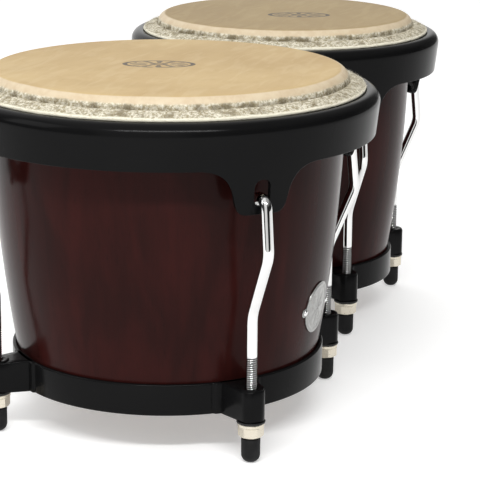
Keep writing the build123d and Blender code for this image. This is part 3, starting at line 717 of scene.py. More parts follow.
def make_ring(drum):
    """Band and flange turned round, with a plate stepped out at each lug."""
    outer, low = drum["ring"], drum["ring_bottom"]
    high = low + RING_HEIGHT
    inner = outer - BAND_WALL
    corners = [
        (outer, low), (outer, high), (inner, high), (inner, low + FLANGE_THICKNESS),
        (outer - FLANGE_REACH, low + FLANGE_THICKNESS), (outer - FLANGE_REACH, low),
    ]
    profile = rounded(corners, [1.0, 1.0, 0.8, 0.3, 0.8, 0.8], 5)
    near = np.radians(np.linspace(-11, 11, 61))
    between = np.radians(np.linspace(11, 79, 35)[1:-1])
    quarter = np.concatenate([near, between])
    angles = np.concatenate([quarter + math.radians(a) for a in PLACES.values()])
    points = turned(profile, angles)
    sideways = np.tile(outer * np.sin(np.where(np.abs(quarter) < 1.0, quarter, 1.0)), 4)
    plate = 1 - smooth(np.abs(sideways), PLATE_HALF - 1.2, PLATE_HALF)
    groove = np.exp(-(((np.abs(sideways) - PLATE_HALF - 0.5) / 0.6) ** 2))
    proud = (PLATE_PROUD * plate - 0.25 * groove)[None, :] * (profile[:, :1] > outer - 1.3)
    points[..., 0] += proud * np.cos(angles)
    points[..., 1] += proud * np.sin(angles)
    points[..., 0] += drum["x"]
    band = piece(
        f"{drum['name']}_ring_band", points, quads(len(profile), len(angles), True), BLACK_STEEL,
        "frame",
    )
    outline = rounded(
        [(-GUSSET_BACK, -GUSSET_HALF), (BOSS_RADIUS, -6.0), (BOSS_RADIUS, 6.0), (-GUSSET_BACK, GUSSET_HALF)],
        [0.4, 5.4, 5.4, 0.4], 14,
    )
    bearing = np.arctan2(outline[:, 1], outline[:, 0])
    order = np.argsort(bearing)
    around = full_turn(96)
    turn = 2 * np.pi
    size = np.stack([np.interp(around, bearing[order], outline[order, k], period=turn) for k in (0, 1)], 1)
    round_boss = np.stack([np.cos(around), np.sin(around)], 1)
    boss_wall, peak = BOSS_RADIUS - BORE_RADIUS, high + BOSS_RISE
    rows = [
        (0.0, low + 0.8), (0.25, low + 0.2), (0.9, low), ("edge", -0.8, low), ("edge", -0.25, low + 0.25),
        ("edge", 0.0, low + 0.9), ("edge", 0.0, high - 0.8), ("edge", -0.25, high - 0.2),
        ("edge", -0.8, high), (boss_wall, high), (boss_wall, peak - 0.3), (boss_wall - 0.3, peak),
        (0.6, peak), (0.1, peak - 0.4), (0.0, peak - 1.0),
    ]
    stack = []
    for row in rows:
        if row[0] == "edge":
            reach = size * (1 + row[1] / np.linalg.norm(size, axis=1, keepdims=True))
        else:
            reach = round_boss * (BORE_RADIUS + row[0])
        stack.append(np.column_stack([reach, np.full(len(around), row[-1])]))
    form = np.stack(stack)
    facing = [math.radians(a) for a in PLACES.values()]
    axis = drum["rim"] - LUG_INSET
    all_points, all_faces = [], []
    for k, a in enumerate(facing):
        x = (form[..., 0] + axis) * math.cos(a) - form[..., 1] * math.sin(a) + drum["x"]
        y = (form[..., 0] + axis) * math.sin(a) + form[..., 1] * math.cos(a)
        all_points.append(np.stack([x, y, form[..., 2]], -1).reshape(-1, 3))
        all_faces.append(quads(len(rows), len(around), True) + k * form[..., 0].size)
    bosses = piece(
        f"{drum['name']}_ring_bosses", np.vstack(all_points), np.vstack(all_faces), BLACK_STEEL,
        "frame", sharp=50.0,
    )
    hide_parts(f"{drum['name']}_bottom_ring")
    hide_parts(f"{drum['name']}_bottom_ring")


for drum in DRUMS:
    make_ring(drum)

# %% [markdown]
# ## Tuning lugs
#
# A lug is one steel rod, 1/4 inch thick, with a 20-turns-per-inch thread rolled on its lower
# end. It goes straight up through the boss, leans out round the ear and hooks into the slot.
# A circle is carried along that bent line. The thread is real geometry: a screw surface whose
# radius depends on height and angle together, because polished chrome shows at once when a
# thread is only painted on.

# %% Lug surface
THREAD_PITCH, THREAD_DEPTH = 1.27, 0.76
THREAD_LOW, THREAD_HIGH = 8.0, 60.0
HOOK_HALF, HOOK_RADIUS, HOOK_DROP = 6.2, 5.8, 8.6
LOWER_BEND_DROP, UPPER_BEND_DROP, UPPER_BEND_OUT = 66.8, 30.3, 3.6
ROD_END = 4.0


def lug_line(drum):
    """The rod's middle line as (radius, height): straight, out, in over the slot and down behind."""
    straight = drum["rim"] - LUG_INSET
    slot_low = drum["ear_bottom"] + SLOT_WEB
    sheet = wall_radius(drum, slot_low) - RIM_SHEET / 2
    hook = slot_low + 1.0 + ROD_RADIUS
    corners = [
        (straight, ROD_END), (straight, hook - LOWER_BEND_DROP),
        (drum["rim"] + UPPER_BEND_OUT, hook - UPPER_BEND_DROP),
        (sheet + HOOK_HALF, hook), (sheet - HOOK_HALF, hook), (sheet - HOOK_HALF, hook - HOOK_DROP),
    ]
    return rounded(corners, [0, 22, 14, HOOK_RADIUS, HOOK_RADIUS, 0], 40, closed=False)


def make_lug(drum, place):
    """Rings round the line: P + R (cos t N + sin t B), N across the line and B sideways.

    In the thread the radius is root + depth x a rounded triangle wave of
    height / pitch - angle / full turn, which climbs to the right like a screw.
    """
    line = lug_line(drum)
    run = np.concatenate([[0], np.cumsum(np.linalg.norm(np.diff(line, axis=0), axis=1))])
    thread = np.arange(THREAD_LOW - 1.5, THREAD_HIGH + 1.5, THREAD_PITCH / 8) - ROD_END
    above = np.arange(thread[-1] + 0.3, run[-1] - 0.7, 0.85)
    plain = np.concatenate([np.linspace(0.7, thread[0] - 0.2, 4), above])
    at = np.sort(np.concatenate([[0, 0, 0.7], thread, plain, [run[-1] - 0.7, run[-1], run[-1]]]))
    r, z = np.interp(at, run, line[:, 0]), np.interp(at, run, line[:, 1])
    before, after = np.clip(at - 0.4, 0, run[-1]), np.clip(at + 0.4, 0, run[-1])
    way = [np.interp(after, run, line[:, k]) - np.interp(before, run, line[:, k]) for k in (0, 1)]
    way = unit(np.stack(way, 1))
    around = full_turn(20)
    wave = (z[:, None] / THREAD_PITCH - around / (2 * np.pi)) % 1.0
    ridge = 1 - smooth(np.abs(2 * wave - 1), 0.12, 0.88)
    on_thread = smooth(z, THREAD_LOW - 1, THREAD_LOW + 1)
    on_thread = on_thread * (1 - smooth(z, THREAD_HIGH - 1.2, THREAD_HIGH + 1))
    on_thread *= at < 80
    radius = ROD_RADIUS - THREAD_DEPTH * on_thread[:, None] * (1 - ridge) - 0.02
    groove = on_thread[:, None] * (1 - ridge)
    radius[[0, -1]] = 0.0
    radius[[1, -2]] = ROD_RADIUS - 0.6
    out = r[:, None] + radius * np.cos(around) * way[:, 1:]
    high = z[:, None] - radius * np.cos(around) * way[:, :1]
    side = radius * np.sin(around)
    a = math.radians(PLACES[place])
    x = drum["x"] + out * math.cos(a) - side * math.sin(a)
    y = out * math.sin(a) + side * math.cos(a)
    name = f"{drum['name']}_{place}_lug"
    rod = piece(
        f"{drum['name']}_{place}_rod", np.stack([x, y, high], -1), quads(len(at), len(around)), CHROME,
        f"{drum['name']}_hoop", stored={"groove": groove}, sharp=60.0,
    )
    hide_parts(name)


# %% Chrome and nickel
def paint_chrome(graph):
    """Polished chrome: a mirror with a breath of haze, drawing marks and painted shade darkening the thread's
    grooves.
    """
    where = graph.place()
    haze = graph.noise(where, 120.0, 3.0)
    wave = graph.noise(graph.place((60.0, 60.0, 14.0)), 1.0, 2.0)
    # painted shade: the thread's grooves turn near black and rougher, standing in for the shade inside them
    groove_shade = 0.93 * graph.step(graph.attribute("groove") + 0.15 * (haze - 0.5), 0.22, 0.72)
    bright = graph.mix(haze, (0.70, 0.70, 0.70), (0.78, 0.78, 0.77))
    return {
        "Base Color": graph.mix(groove_shade, bright, (0.035, 0.033, 0.030)),
        "Metallic": 1.0,
        "Roughness": graph.clamp(0.035 + 0.06 * graph.step(haze, 0.5, 0.8) + 0.30 * groove_shade),
        "Normal": graph.bump(wave, 0.0005, 0.10),
    }


def paint_nickel(graph):
    """Warm nickel plate, tumbled: softer than chrome, slightly yellow, dull in small scattered spots."""
    where = graph.place()
    cloud = graph.noise(where, 160.0, 4.0)
    nick = graph.step(graph.noise(where, 900.0, 3.0), 0.60, 0.72)
    tone = graph.mix(cloud, (0.60, 0.54, 0.43), (0.72, 0.68, 0.59))
    return {
        "Base Color": graph.mix(0.35 * nick, tone, (0.48, 0.42, 0.33)),
        "Metallic": 1.0,
        "Roughness": graph.clamp(0.20 + 0.12 * cloud + 0.15 * nick),
        "Normal": graph.bump(cloud - 0.5 * nick, 0.0001, 0.25),
    }


CHROME = finish("chrome_rod", paint_chrome)
NICKEL = finish("nickel_nut", paint_nickel)
for drum in DRUMS:
    for place in PLACES:
        make_lug(drum, place)

# %% [markdown]
# ## Nuts, washers and feet
#
# Under each boss there is a black washer and a flanged hexagon nut, and a rubber bullet is
# pushed on the end of the rod. The nut is a grid like everything else: its radius is the
# smaller of the hexagon's and of a cone's, which is exactly how a lathe chamfers bar stock.

# %% Nut
FLATS, FLANGE_RADIUS, NUT_BORE = 12.7, 7.5, 3.33
HEX_TURN = {"back_right": 9, "back_left": 31, "front_left": 17.5, "front_right": 3}


def make_nut(drum, place):
    """Radius = min(half flats / cos(angle from the flat's middle), rounded corner, chamfer cone)."""
    low = float(box_mm(f"{drum['name']}_{place}_nut")[0][2])
    facet = np.radians([-30, -29, -28, -26, -22, -15, -7, 0, 7, 15, 22, 26, 28, 29])
    around = np.concatenate([facet + math.radians(60 * k) for k in range(6)])
    flat = np.concatenate([facet] * 6)
    hexagon = np.minimum(FLATS / 2 / np.cos(flat), 7.22)
    up = np.array([0.0, 0.12, 0.3, 0.5, 0.75, 1.1, 1.5, 3.0, 4.6, 5.2])
    cone = 5.85 + up * 1.9
    rows = [np.minimum(hexagon, c) for c in cone]
    levels = list(up)
    neck = [(5.55, 0.0), (5.75, 0.18), (5.95, 0.55)]
    for level_z, share in neck:
        rows.append(hexagon + share * (FLANGE_RADIUS - hexagon))
        levels.append(level_z)
    for radius, level_z in [(7.32, 6.05), (7.46, 6.2), (7.5, 6.5), (7.5, 7.55), (7.42, 7.85), (7.2, 8.0)]:
        rows.append(np.full(len(around), radius))
        levels.append(level_z)
    for radius, level_z in [(NUT_BORE + 0.5, 8.0), (NUT_BORE, 7.5), (NUT_BORE, 0.6), (NUT_BORE + 0.6, 0.0)]:
        rows.append(np.full(len(around), radius))
        levels.append(level_z)
    radius = np.stack(rows)
    height = low + np.array(levels)[:, None] + 0 * radius
    a = math.radians(PLACES[place])
    reach = drum["rim"] - LUG_INSET
    turn = around + math.radians(HEX_TURN[place])
    x = drum["x"] + reach * math.cos(a) + radius * np.cos(turn)
    y = reach * math.sin(a) + radius * np.sin(turn)
    name = f"{drum['name']}_{place}_nut"
    made = piece(
        f"{drum['name']}_{place}_flange_nut", np.stack([x, y, height], -1), quads(*radius.shape, True),
        NICKEL, name, sharp=24.0,
    )
    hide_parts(name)


# %% Feet and washers
def paint_rubber(graph):
    """Moulded rubber: matt, with a dusty bloom and a fine pebbled skin."""
    where = graph.place()
    bloom = graph.noise(where, 180.0, 4.0)
    pebble = graph.noise(where, 1500.0, 2.0)
    tone = graph.mix(graph.step(bloom, 0.4, 0.75), (0.0050, 0.0050, 0.0052), (0.012, 0.012, 0.012))
    return {
        "Base Color": tone,
        "Roughness": graph.clamp(0.58 + 0.14 * bloom),
        "IOR": 1.30,
        "Normal": graph.bump(pebble, 0.00008, 0.5),
    }


def paint_washer(graph):
    """Black oxide steel, worn to grey on its high spots."""
    where = graph.place()
    wear = graph.step(graph.noise(where, 400.0, 4.0, 0.7), 0.58, 0.74)
    return {
        "Base Color": graph.mix(wear, (0.006, 0.006, 0.006), (0.022, 0.021, 0.020)),
        "Roughness": graph.clamp(0.45 - 0.12 * wear),
        "IOR": 1.45,
        "Normal": graph.bump(wear, 0.00003, 0.3),
    }


RUBBER = finish("foot_rubber", paint_rubber)
WASHER_BLACK = finish("black_washer", paint_washer)
TIP_RADIUS, TIP_LENGTH = 5.35, 14.2
WASHER_RADIUS, WASHER_BORE = 8.0, 3.675


def make_foot(drum, place):
    """A bullet turned round its own axis: domed end, straight side, hollow for the rod."""
    a = math.radians(PLACES[place])
    reach = drum["rim"] - LUG_INSET
    profile = rounded(
        [(0.02, 0.0), (TIP_RADIUS - 0.1, 0.0), (TIP_RADIUS, TIP_LENGTH), (ROD_RADIUS + 0.05, TIP_LENGTH),
         (ROD_RADIUS + 0.05, TIP_LENGTH - 9.0), (0.02, TIP_LENGTH - 9.0)],
        [0.001, 4.4, 0.55, 0.4, 0.5, 0.001], 12,
    )
    points = turned(profile, full_turn(40), drum["x"] + reach * math.cos(a), reach * math.sin(a))
    made = piece(
        f"{drum['name']}_{place}_foot", points, quads(len(profile), 40, True), RUBBER,
        f"{drum['name']}_hoop", sharp=60.0,
    )
    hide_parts(f"{drum['name']}_{place}_tip")


def make_washers(drum):
    """Four flat rings with broken edges."""
    low, high = (float(v[2]) for v in box_mm(f"{drum['name']}_lug_washers"))
    corners = [(WASHER_BORE, low), (WASHER_RADIUS, low), (WASHER_RADIUS, high), (WASHER_BORE, high)]
    profile = rounded(corners, 0.25, 4)
    reach = drum["rim"] - LUG_INSET
    bearings = [math.radians(angle) for angle in PLACES.values()]
    spots = [(drum["x"] + reach * math.cos(a), reach * math.sin(a)) for a in bearings]
    rings = [turned(profile, full_turn(48), x, y).reshape(-1, 3) for x, y in spots]
    faces = [quads(len(profile), 48, True) + k * len(rings[0]) for k in range(4)]
    made = piece(
        f"{drum['name']}_washers", np.vstack(rings), np.vstack(faces), WASHER_BLACK, "frame",
    )
    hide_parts(f"{drum['name']}_lug_washers")


for drum in DRUMS:
    make_washers(drum)
    for place in PLACES:
        make_nut(drum, place)
        make_foot(drum, place)

# %% [markdown]
# ## The skin
#
# The head is rawhide. Its crown is scraped smooth and honey-coloured, the shoulder that turns
# over the bearing edge is paler, and outside a dark crease the trimmed edge still has its hair.
# That edge is tucked round a steel hoop, and the rim presses it down. One closed, turned
# profile makes all of it, with a little unevenness where a knife cut the edge by hand.

# %% Skin surface
SKIN_THICKNESS = 1.4
CROWN_THICKNESS = 1.25
CREASE_DROP = 6.6  # crease between shoulder and collar, below the playing surface
TRIM_OUT = 8.0  # trimmed edge, inside the rim's outside
HOOP_INSET, HOOP_DROP, HOOP_WRAP = 11.5, 26.9, 4.3


def skin_profile(drum):
    """(radius, height, zone) from the crown's middle over the edge, round the hoop and back.

    Zone is 0 on the crown, 1 at the crease, 2 at the trimmed edge and 3 behind it.
    """
    top, crown = drum["top"], drum["crown"]
    shoulder = 5.0 + SKIN_THICKNESS
    flat = np.linspace(0.02, crown - shoulder, 22)
    swing = np.linspace(np.pi / 2, 0.13, 12)[1:]
    bend_r = crown - shoulder + shoulder * np.cos(swing)
    bend_z = top - shoulder + shoulder * np.sin(swing)
    crease = (crown + 0.25, top - CREASE_DROP - 0.5)
    edge = drum["rim"] - TRIM_OUT
    lift = drum["rim_top"] + 0.2
    roll = bezier(
        crease, (crown + 1.6, top - CREASE_DROP + 1.4), (edge - 2.5, lift + 2.6), (edge - 0.2, lift + 1.2), 12
    )
    centre, level_z = roll_centre(drum)
    under_a = np.linspace(math.pi / 2 + 0.12, math.pi, 9)
    near = ROLL_RADIUS + 0.18
    under = np.stack([centre + near * np.cos(under_a), level_z + near * np.sin(under_a)], 1)
    wrap_a = np.radians(np.linspace(105, -190, 18))
    hoop = (drum["rim"] - HOOP_INSET, top - HOOP_DROP)
    wrap = np.stack([hoop[0] + HOOP_WRAP * np.cos(wrap_a), hoop[1] + HOOP_WRAP * np.sin(wrap_a)], 1)
    inner = np.array([(crown + 1.7, top - 19.5), (crown - 1.2, top - 19.5), (crown - 1.2, top - shoulder)])
    back_a = np.linspace(0, np.pi / 2, 7)[1:]
    within = shoulder - CROWN_THICKNESS
    back = np.stack([crown - shoulder + within * np.cos(back_a), top - shoulder + within * np.sin(back_a)], 1)
    rest = np.array([(edge, lift + 0.9), (edge, lift + 0.15)])
    end = np.array([(0.02, top - CROWN_THICKNESS)])
    level_crown = np.stack([flat, np.full(22, top)], 1)
    bend = np.stack([bend_r, bend_z], 1)
    outline = np.vstack([level_crown, bend, roll, rest, under[1:], wrap, inner, back, end])
    outside = [np.zeros(len(flat)), np.linspace(0, 1, 12)[1:], np.linspace(1, 2, 12), [2, 2.05]]
    outside = np.concatenate(outside)
    zone = np.concatenate([outside, np.full(len(outline) - len(outside), 3.0)])
    return outline, zone


def wobble(angles, seed, waves, size):
    """Unevenness round a circle: a sum of sines of whole frequencies with seeded phases."""
    chance = np.random.default_rng(seed)
    steps = np.arange(2, waves)
    phase = chance.uniform(0, 2 * np.pi, len(steps))
    weight = chance.uniform(0.4, 1.0, len(steps)) / np.sqrt(steps)
    waviness = weight[:, None] * np.sin(steps[:, None] * angles + phase[:, None])
    return size * waviness.sum(0) / weight.sum() * 3


def make_skin(drum, seed):
    """The profile turned round, the collar lifted and the trimmed edge drawn in unevenly."""
    outline, zone = skin_profile(drum)
    angles = full_turn(300)
    points = turned(outline, angles)
    collar = np.interp(zone, [0.8, 1.3, 2.0, 2.1, 2.9], [0, 1, 1, 1, 0])[:, None]
    lift = wobble(angles, seed, 40, 0.30)[None] * collar
    trimmed = np.interp(zone, [1.6, 2.0, 2.1, 2.9], [0, 1, 1, 0])[:, None]
    draw = (np.abs(wobble(angles, seed + 1, 60, 0.5)) + 0.05)[None] * trimmed
    radius = np.hypot(points[..., 0], points[..., 1])
    radius = radius - draw
    raised = points[..., 2] + np.maximum(lift, -0.05)
    points = np.stack([radius * np.cos(angles) + drum["x"], radius * np.sin(angles), raised], -1)
    name = drum["name"]
    made = piece(
        f"{name}_rawhide", points, quads(*points.shape[:2], True)[:, ::-1], SKINS[name],
        stored={"zone": np.repeat(zone, len(angles))}, sharp=70.0,
    )
    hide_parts(f"{name}_skin", f"{name}_skin_collar")
    top = drum["top"] * MM
    x = drum["x"] * MM
    top - 0.0004
    top - 0.0075
    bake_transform(made)


# %% Hair on the trimmed edge
HAIRS = 5200


def make_hair(drum, seed):
    """Thousands of little bent pyramids with three sides, rooted between crease and edge.

    Each has a root ring, a middle ring at half its width and a tip, placed at
    root + length x t x (lean outwards and downwards, curled by t squared).
    """
    chance = np.random.default_rng(seed)
    outline, zone = skin_profile(drum)
    band = (zone >= 0.9) & (zone <= 2.02)
    line, spot = outline[band], zone[band]
    count = int(HAIRS * drum["rim"] / 122)
    at = chance.uniform(0.93, 2.0, count)
    r = np.interp(at, spot, line[:, 0])
    z = np.interp(at, spot, line[:, 1])
    a = chance.uniform(0, 2 * np.pi, count)
    length = chance.uniform(0.7, 2.1, count) * (1.15 - 0.3 * np.abs(at - 1.4))
    width = chance.uniform(0.09, 0.17, count)
    out = np.stack([np.cos(a), np.sin(a), 0 * a], 1)
    side = np.stack([-np.sin(a), np.cos(a), 0 * a], 1)
    upright = np.array([0, 0, 1.0])
    lean = unit(
        out * chance.uniform(0.2, 1.0, count)[:, None] + side * chance.normal(0, 0.7, count)[:, None]
        + upright * chance.uniform(0.05, 0.7, count)[:, None]
    )
    curl = upright * chance.uniform(-0.9, 0.1, count)[:, None] + side * chance.normal(0, 0.3, count)[:, None]
    root = out * r[:, None] + upright * (z - 0.25)[:, None]
    across = unit(np.cross(lean, upright))
    other = np.cross(across, lean)
    three = np.array([0, 2, 4]) * np.pi / 3
    ring = np.cos(three)[None, :, None] * across[:, None] + np.sin(three)[None, :, None] * other[:, None]
    middle = root + lean * (0.55 * length)[:, None] + curl * (0.3 * length)[:, None] * 0.5
    end = root + lean * length[:, None] + curl * length[:, None] * 0.8
    low = root[:, None] + ring * width[:, None, None] / 2
    high = middle[:, None] + ring * width[:, None, None] * 0.33
    points = np.concatenate([low, high, end[:, None]], 1)
    points = points + np.array([drum["x"], 0, 0])
    reach = drum["rim"] - 2.0
    spread = np.hypot(points[..., 0] - drum["x"], points[..., 1])
    points[..., :2] -= (points[..., :2] - [drum["x"], 0]) * np.maximum(0, 1 - reach / spread)[..., None]
    sides = np.array([[0, 3, 4, 1], [1, 4, 5, 2], [2, 5, 3, 0]])
    tips = np.array([[3, 6, 4], [4, 6, 5], [5, 6, 3]])
    start = 7 * np.arange(count)[:, None, None]
    four = (sides[None] + start).reshape(-1, 4)[:, ::-1]
    three_sided = (tips[None] + start).reshape(-1, 3)[:, ::-1]
    base = (np.array([[0, 1, 2]])[None] + start).reshape(-1, 3)[:, ::-1]
    faces = [list(map(int, f)) for block in (four, three_sided, base) for f in block]
    shade = np.repeat(chance.uniform(0, 1, count), 7)
    name = drum["name"]
    mesh = bpy.data.meshes.new(f"{name}_edge_hair")
    mesh.from_pydata((points.reshape(-1, 3) * MM).tolist(), [], faces)
    layer = mesh.attributes.new("shade", "FLOAT", "POINT")
    layer.data.foreach_set("value", shade.astype(np.float32))
    mesh.shade_smooth()
    mesh.materials.append(HAIR)
    made = bpy.data.objects.new(f"{name}_edge_hair", mesh)
    bpy.context.scene.collection.objects.link(made)
    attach(made, f"{name}_hoop")
    print(made.name, count, "hairs")


# %% Rawhide and hair
def paint_skin(stamp_x, stamp_y, brown):
    """A finish for one head, with its ink stamp centred at a place and its own depth of brown."""

    def paint(graph):
        where = graph.place()
        zone = graph.attribute("zone")
        drift = graph.noise(graph.place((9.0, 15.0, 9.0)), 1.0, 4.0, 0.55, 0.6)
        fleck = graph.noise(where, 150.0, 4.0, 0.65)
        veins = graph.noise(graph.place((26.0, 120.0, 60.0)), 1.0, 3.0, 0.5, 1.2)
        honey = graph.mix(graph.step(drift, 0.3, 0.7), HONEY[brown][0], HONEY[brown][1])
        honey = graph.mix(0.30 * graph.step(veins, 0.45, 0.7), honey, HONEY[brown][2])
        honey = graph.mix(0.16 * graph.step(fleck, 0.55, 0.75), honey, (0.40, 0.24, 0.10))
        honey = graph.mix(stamp(graph, stamp_x, stamp_y, fleck), honey, (0.035, 0.030, 0.026))
        pale = graph.mix(graph.step(fleck, 0.35, 0.7), (0.66, 0.55, 0.385), (0.60, 0.475, 0.315))
        crown = graph.mix(graph.step(zone + 0.35 * (drift - 0.5), 0.12, 0.30), honey, pale)
        grit = graph.noise(where, 620.0, 5.0, 0.75)
        coarse = graph.noise(where, 170.0, 3.0, 0.6)
        fuzz = graph.mix(graph.step(grit, 0.40, 0.60), (0.34, 0.29, 0.18), (0.78, 0.74, 0.62))
        clump = 0.75 * graph.step(coarse + 0.25 * (grit - 0.5), 0.50, 0.66)
        fuzz = graph.mix(clump, fuzz, (0.17, 0.135, 0.07))
        collar = graph.mix(graph.step(zone + 0.20 * (coarse - 0.5), 1.84, 1.98), fuzz, (0.86, 0.82, 0.67))
        ragged = zone + 0.22 * (grit - 0.5) + 0.12 * (coarse - 0.5)
        skin = graph.mix(graph.step(ragged, 0.70, 0.86), crown, collar)
        crease = graph.step(ragged, 0.80, 0.98) * graph.step(ragged, 1.22, 1.03)
        shadow = 0.45 * crease * graph.step(coarse + 0.30 * (grit - 0.5), 0.30, 0.66)
        skin = graph.mix(shadow, skin, (0.105, 0.080, 0.040))
        rough = graph.step(zone, 0.7, 1.0)
        height = (1 - rough) * (0.10 * veins + 0.10 * fleck) + rough * (grit + 1.4 * coarse)
        return {
            "Base Color": skin,
            "Roughness": graph.clamp(0.46 + 0.08 * fleck + 0.45 * rough),
            "IOR": 1.42,
            "Normal": graph.bump(height, 0.0009, 0.55),
        }

    return paint


STAMP_LONG, STAMP_WIDE = 0.0215, 0.0125


def stamp(graph, x, y, worn):
    """A generic ink print: an oval sun with twelve rays inside two thin ovals, worn thin.

    With p and q the place along and across the oval divided by its half axes, the ring is
    where sqrt(p^2 + q^2) is near 1, and the rays are where cos(12 x atan2(q, p)) is high.
    """
    spot = graph.place(move=(x, y, 0))

    def turned_axis(direction, half):
        sockets = {0: spot, 1: tuple(float(v) / half for v in direction)}
        return graph.node("ShaderNodeVectorMath", {"operation": "DOT_PRODUCT"}, sockets, "Value")

    p = turned_axis(level, STAMP_LONG)
    q = turned_axis((math.cos(CAMERA_HEADING), math.sin(CAMERA_HEADING), 0), STAMP_WIDE)
    far = (p * p + q * q) ** 0.5
    angle = graph.maths("ARCTAN2", q, p)
    rays = graph.step(graph.maths("COSINE", angle * 12), 0.0, 0.35)
    rays = rays * graph.step(far, 0.34, 0.38) * graph.step(far, 0.80, 0.76)
    disc = graph.step(far, 0.27, 0.23) * (1 - graph.step(far, 0.12, 0.09))
    outer = graph.step(far, 0.84, 0.86) * graph.step(far, 0.99, 0.97)
    on = graph.clamp(rays + disc + outer)
    normal = graph.node("ShaderNodeNewGeometry", output="Normal")
    facing_up = graph.node("ShaderNodeSeparateXYZ", {}, {0: normal}, "Z")
    return 0.9 * on * graph.step(worn, 0.30, 0.42) * graph.step(facing_up, 0.5, 0.9)


def paint_hair(graph):
    """Grey-white to olive-brown, one shade to a hair."""
    shade = graph.attribute("shade")
    stops = [
        (0.0, (0.13, 0.10, 0.055)), (0.25, (0.34, 0.29, 0.19)),
        (0.5, (0.60, 0.56, 0.45)), (1.0, (0.90, 0.87, 0.78)),
    ]
    tone = graph.node("ShaderNodeValToRGB", {"stops": stops}, {"Fac": shade}, "Color")
    dusty = graph.noise(graph.place(), 300.0, 2.0)
    return {
        "Base Color": graph.mix(0.3 * dusty, tone, (0.62, 0.58, 0.48)),
        "Roughness": graph.clamp(0.55 + 0.2 * dusty),
    }


HONEY = [
    ((0.56, 0.400, 0.180), (0.47, 0.315, 0.128), (0.63, 0.49, 0.27)),
    ((0.37, 0.262, 0.112), (0.31, 0.208, 0.082), (0.45, 0.34, 0.165)),
]
HAIR = finish("edge_hair", paint_hair)
SKINS = {
    "hembra": finish("hembra_rawhide", paint_skin(-0.1062, 0.0061, 0)),
    "macho": finish("macho_rawhide", paint_skin(0.118, -0.012, 1)),
}
for number_of_drum, drum in enumerate(DRUMS):
    make_skin(drum, 11 + number_of_drum)
    make_hair(drum, 31 + number_of_drum)

# %% [markdown]
# ## The badge
#
# A pressed metal disc is nailed to the large drum by two tabs. Pressed relief is a height over
# the disc: a raised border, a recessed field and a plain eight-petalled rosette. The disc is
# made flat as a polar grid and then bent round the shell by reading its sideways coordinate
# as an arc length.

# %% Badge surface
BADGE_ANGLE = math.radians(265.0)
BADGE_HEIGHT = 71.5
TAB_SPACING = 15.5


def on_shell(drum, sideways, height, proud):
    """A point of the shell's outside, sideways round it and at a height, moved straight out by proud."""
    radius = stave_radius(drum, height) + proud
    angle = BADGE_ANGLE + np.asarray(sideways) / stave_radius(drum, BADGE_HEIGHT)
    return np.stack([drum["x"] + radius * np.cos(angle), radius * np.sin(angle), height + 0 * angle], -1)


def make_badge(drum):
    """Height over the disc = border ridge + rosette petals, between a flat back and a rounded edge."""
    rho = np.concatenate([np.linspace(0.02, 11.6, 26), np.linspace(11.9, 14.7, 12), [14.92, 15.0, 15.0]])
    around = full_turn(120)
    ridge = np.exp(-(((rho - 13.3) / 1.05) ** 2)) * 0.55
    swell = np.sin(np.clip(rho / 11.0, 0, 1) * np.pi)[:, None] ** 0.8
    petals = np.abs(np.cos(4 * around))[None] ** 1.5 * swell
    boss = np.exp(-((rho / 2.2) ** 2)) * 0.35
    height = 0.62 + ridge[:, None] + 0.42 * petals + boss[:, None] - 0.12 * smooth(rho, 10.8, 11.6)[:, None]
    height[-3:] = np.array([0.72, 0.55, 0.05])[:, None]
    sideways = rho[:, None] * np.cos(around)
    upwards = BADGE_HEIGHT + rho[:, None] * np.sin(around)
    front = on_shell(drum, sideways, upwards, height)
    back = on_shell(drum, sideways[:1], upwards[:1], np.full((1, len(around)), 0.05))
    disc = np.vstack([front, back])
    faces = [quads(*disc.shape[:2])]
    points = [disc.reshape(-1, 3)]
    for side in (-1, 1):
        ring = np.array([0.02, 1.4, 2.4, 2.7, 2.8, 2.8, 0.02])
        proud = np.array([0.50, 0.50, 0.48, 0.38, 0.2, 0.06, 0.06])
        s = side * TAB_SPACING + ring[:, None] * np.cos(full_turn(32))
        z = BADGE_HEIGHT + ring[:, None] * np.sin(full_turn(32))
        tab = on_shell(drum, s, z, proud[:, None] + 0 * s)
        faces.append(quads(*tab.shape[:2]) + sum(len(p) for p in points))
        points.append(tab.reshape(-1, 3))
    made = piece(
        "badge_disc", np.vstack(points), np.vstack(faces), BADGE_METAL, "frame", sharp=60.0
    )
    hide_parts("badge")
    points, faces = [], []
    for side in (-1, 1):
        swing = np.linspace(np.pi / 2 - 0.02, 0, 8)
        ring = np.concatenate([1.85 * np.cos(swing), [1.85, 0.9, 0.9, 0.02]])
        proud = np.concatenate([0.55 + 1.05 * np.sin(swing), [0.45, 0.42, -4.5, -4.8]])
        s = side * TAB_SPACING + ring[:, None] * np.cos(full_turn(28))
        z = BADGE_HEIGHT + ring[:, None] * np.sin(full_turn(28))
        pin = on_shell(drum, s, z, proud[:, None] + 0 * s)
        faces.append(quads(*pin.shape[:2]) + sum(len(p) for p in points))
        points.append(pin.reshape(-1, 3))
    pins = piece(
        "badge_nails", np.vstack(points), np.vstack(faces), CHROME, "frame", sharp=60.0
    )
    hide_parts("badge_pins")


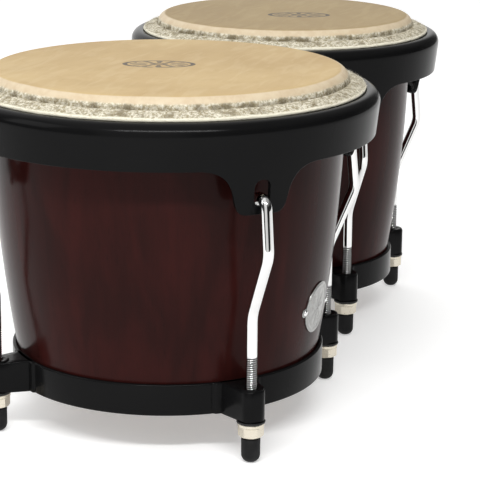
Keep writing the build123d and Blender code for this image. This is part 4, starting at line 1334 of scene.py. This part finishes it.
# %% Badge metal
def paint_badge(graph):
    """Bright nickel with dirt in cloudy patches and a brushed field."""
    where = graph.place()
    brush = graph.noise(graph.place((700.0, 700.0, 60.0)), 1.0, 3.0)
    dirt = graph.step(graph.noise(where, 240.0, 4.0, 0.7), 0.50, 0.72)
    tone = graph.mix(brush, (0.24, 0.24, 0.235), (0.38, 0.38, 0.37))
    return {
        "Base Color": graph.mix(0.45 * dirt, tone, (0.30, 0.29, 0.27)),
        "Metallic": 1.0,
        "Roughness": graph.clamp(0.14 + 0.12 * brush + 0.15 * dirt),
        "Normal": graph.bump(brush, 0.00006, 0.3),
    }


BADGE_METAL = finish("badge_metal", paint_badge)
make_badge(DRUMS[0])

# %% [markdown]
# ## Block, saddles and bolts
#
# The pieces that hold the pair together stay as the frame made them, because their machined
# shapes are already right. They only need finishes: black-stained wood for the block and the
# saddles, zinc plate for the bolts, plain bright wire for the flesh hoops.

# %% Finishes for the frame's own pieces
def paint_block(graph):
    """Dark stained hardwood with long grain along X, satin rather than gloss."""
    grain = graph.noise(graph.place((30.0, 420.0, 420.0)), 1.0, 5.0, 0.6, 0.3)
    rings = graph.noise(graph.place((6.0, 60.0, 110.0)), 1.0, 3.0, 0.5, 1.0)
    streak = graph.step(0.6 * grain + 0.4 * rings, 0.38, 0.62)
    tone = graph.mix(streak, (0.011, 0.0072, 0.0062), (0.034, 0.0150, 0.0115))
    return {
        "Base Color": tone,
        "Roughness": graph.clamp(0.34 + 0.16 * grain),
        "IOR": 1.42,
        "Normal": graph.bump(grain + 0.5 * rings, 0.00025, 0.4),
    }


def paint_zinc(graph):
    """Zinc plate: pale steel with a spangle of faint cloudy patches."""
    spangle = graph.noise(graph.place(), 420.0, 3.0)
    return {
        "Base Color": graph.mix(spangle, (0.55, 0.56, 0.58), (0.72, 0.73, 0.72)),
        "Metallic": 1.0,
        "Roughness": graph.clamp(0.28 + 0.18 * spangle),
        "Normal": graph.bump(spangle, 0.00004, 0.3),
    }


BLOCK_WOOD = finish("block_wood", paint_block)
ZINC = finish("bolt_zinc", paint_zinc)
FINISHES = {"centre_block": BLOCK_WOOD, "saddle": BLOCK_WOOD, "bolt": ZINC, "flesh_hoop": ZINC}
for node_name, node_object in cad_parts.items():
    for word, material in FINISHES.items():
        if word in node_name:
            for place_of_slot in node_object.material_slots:
                place_of_slot.material = material
print("kept from the frame:", [n for n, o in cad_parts.items() if not o.hide_render])
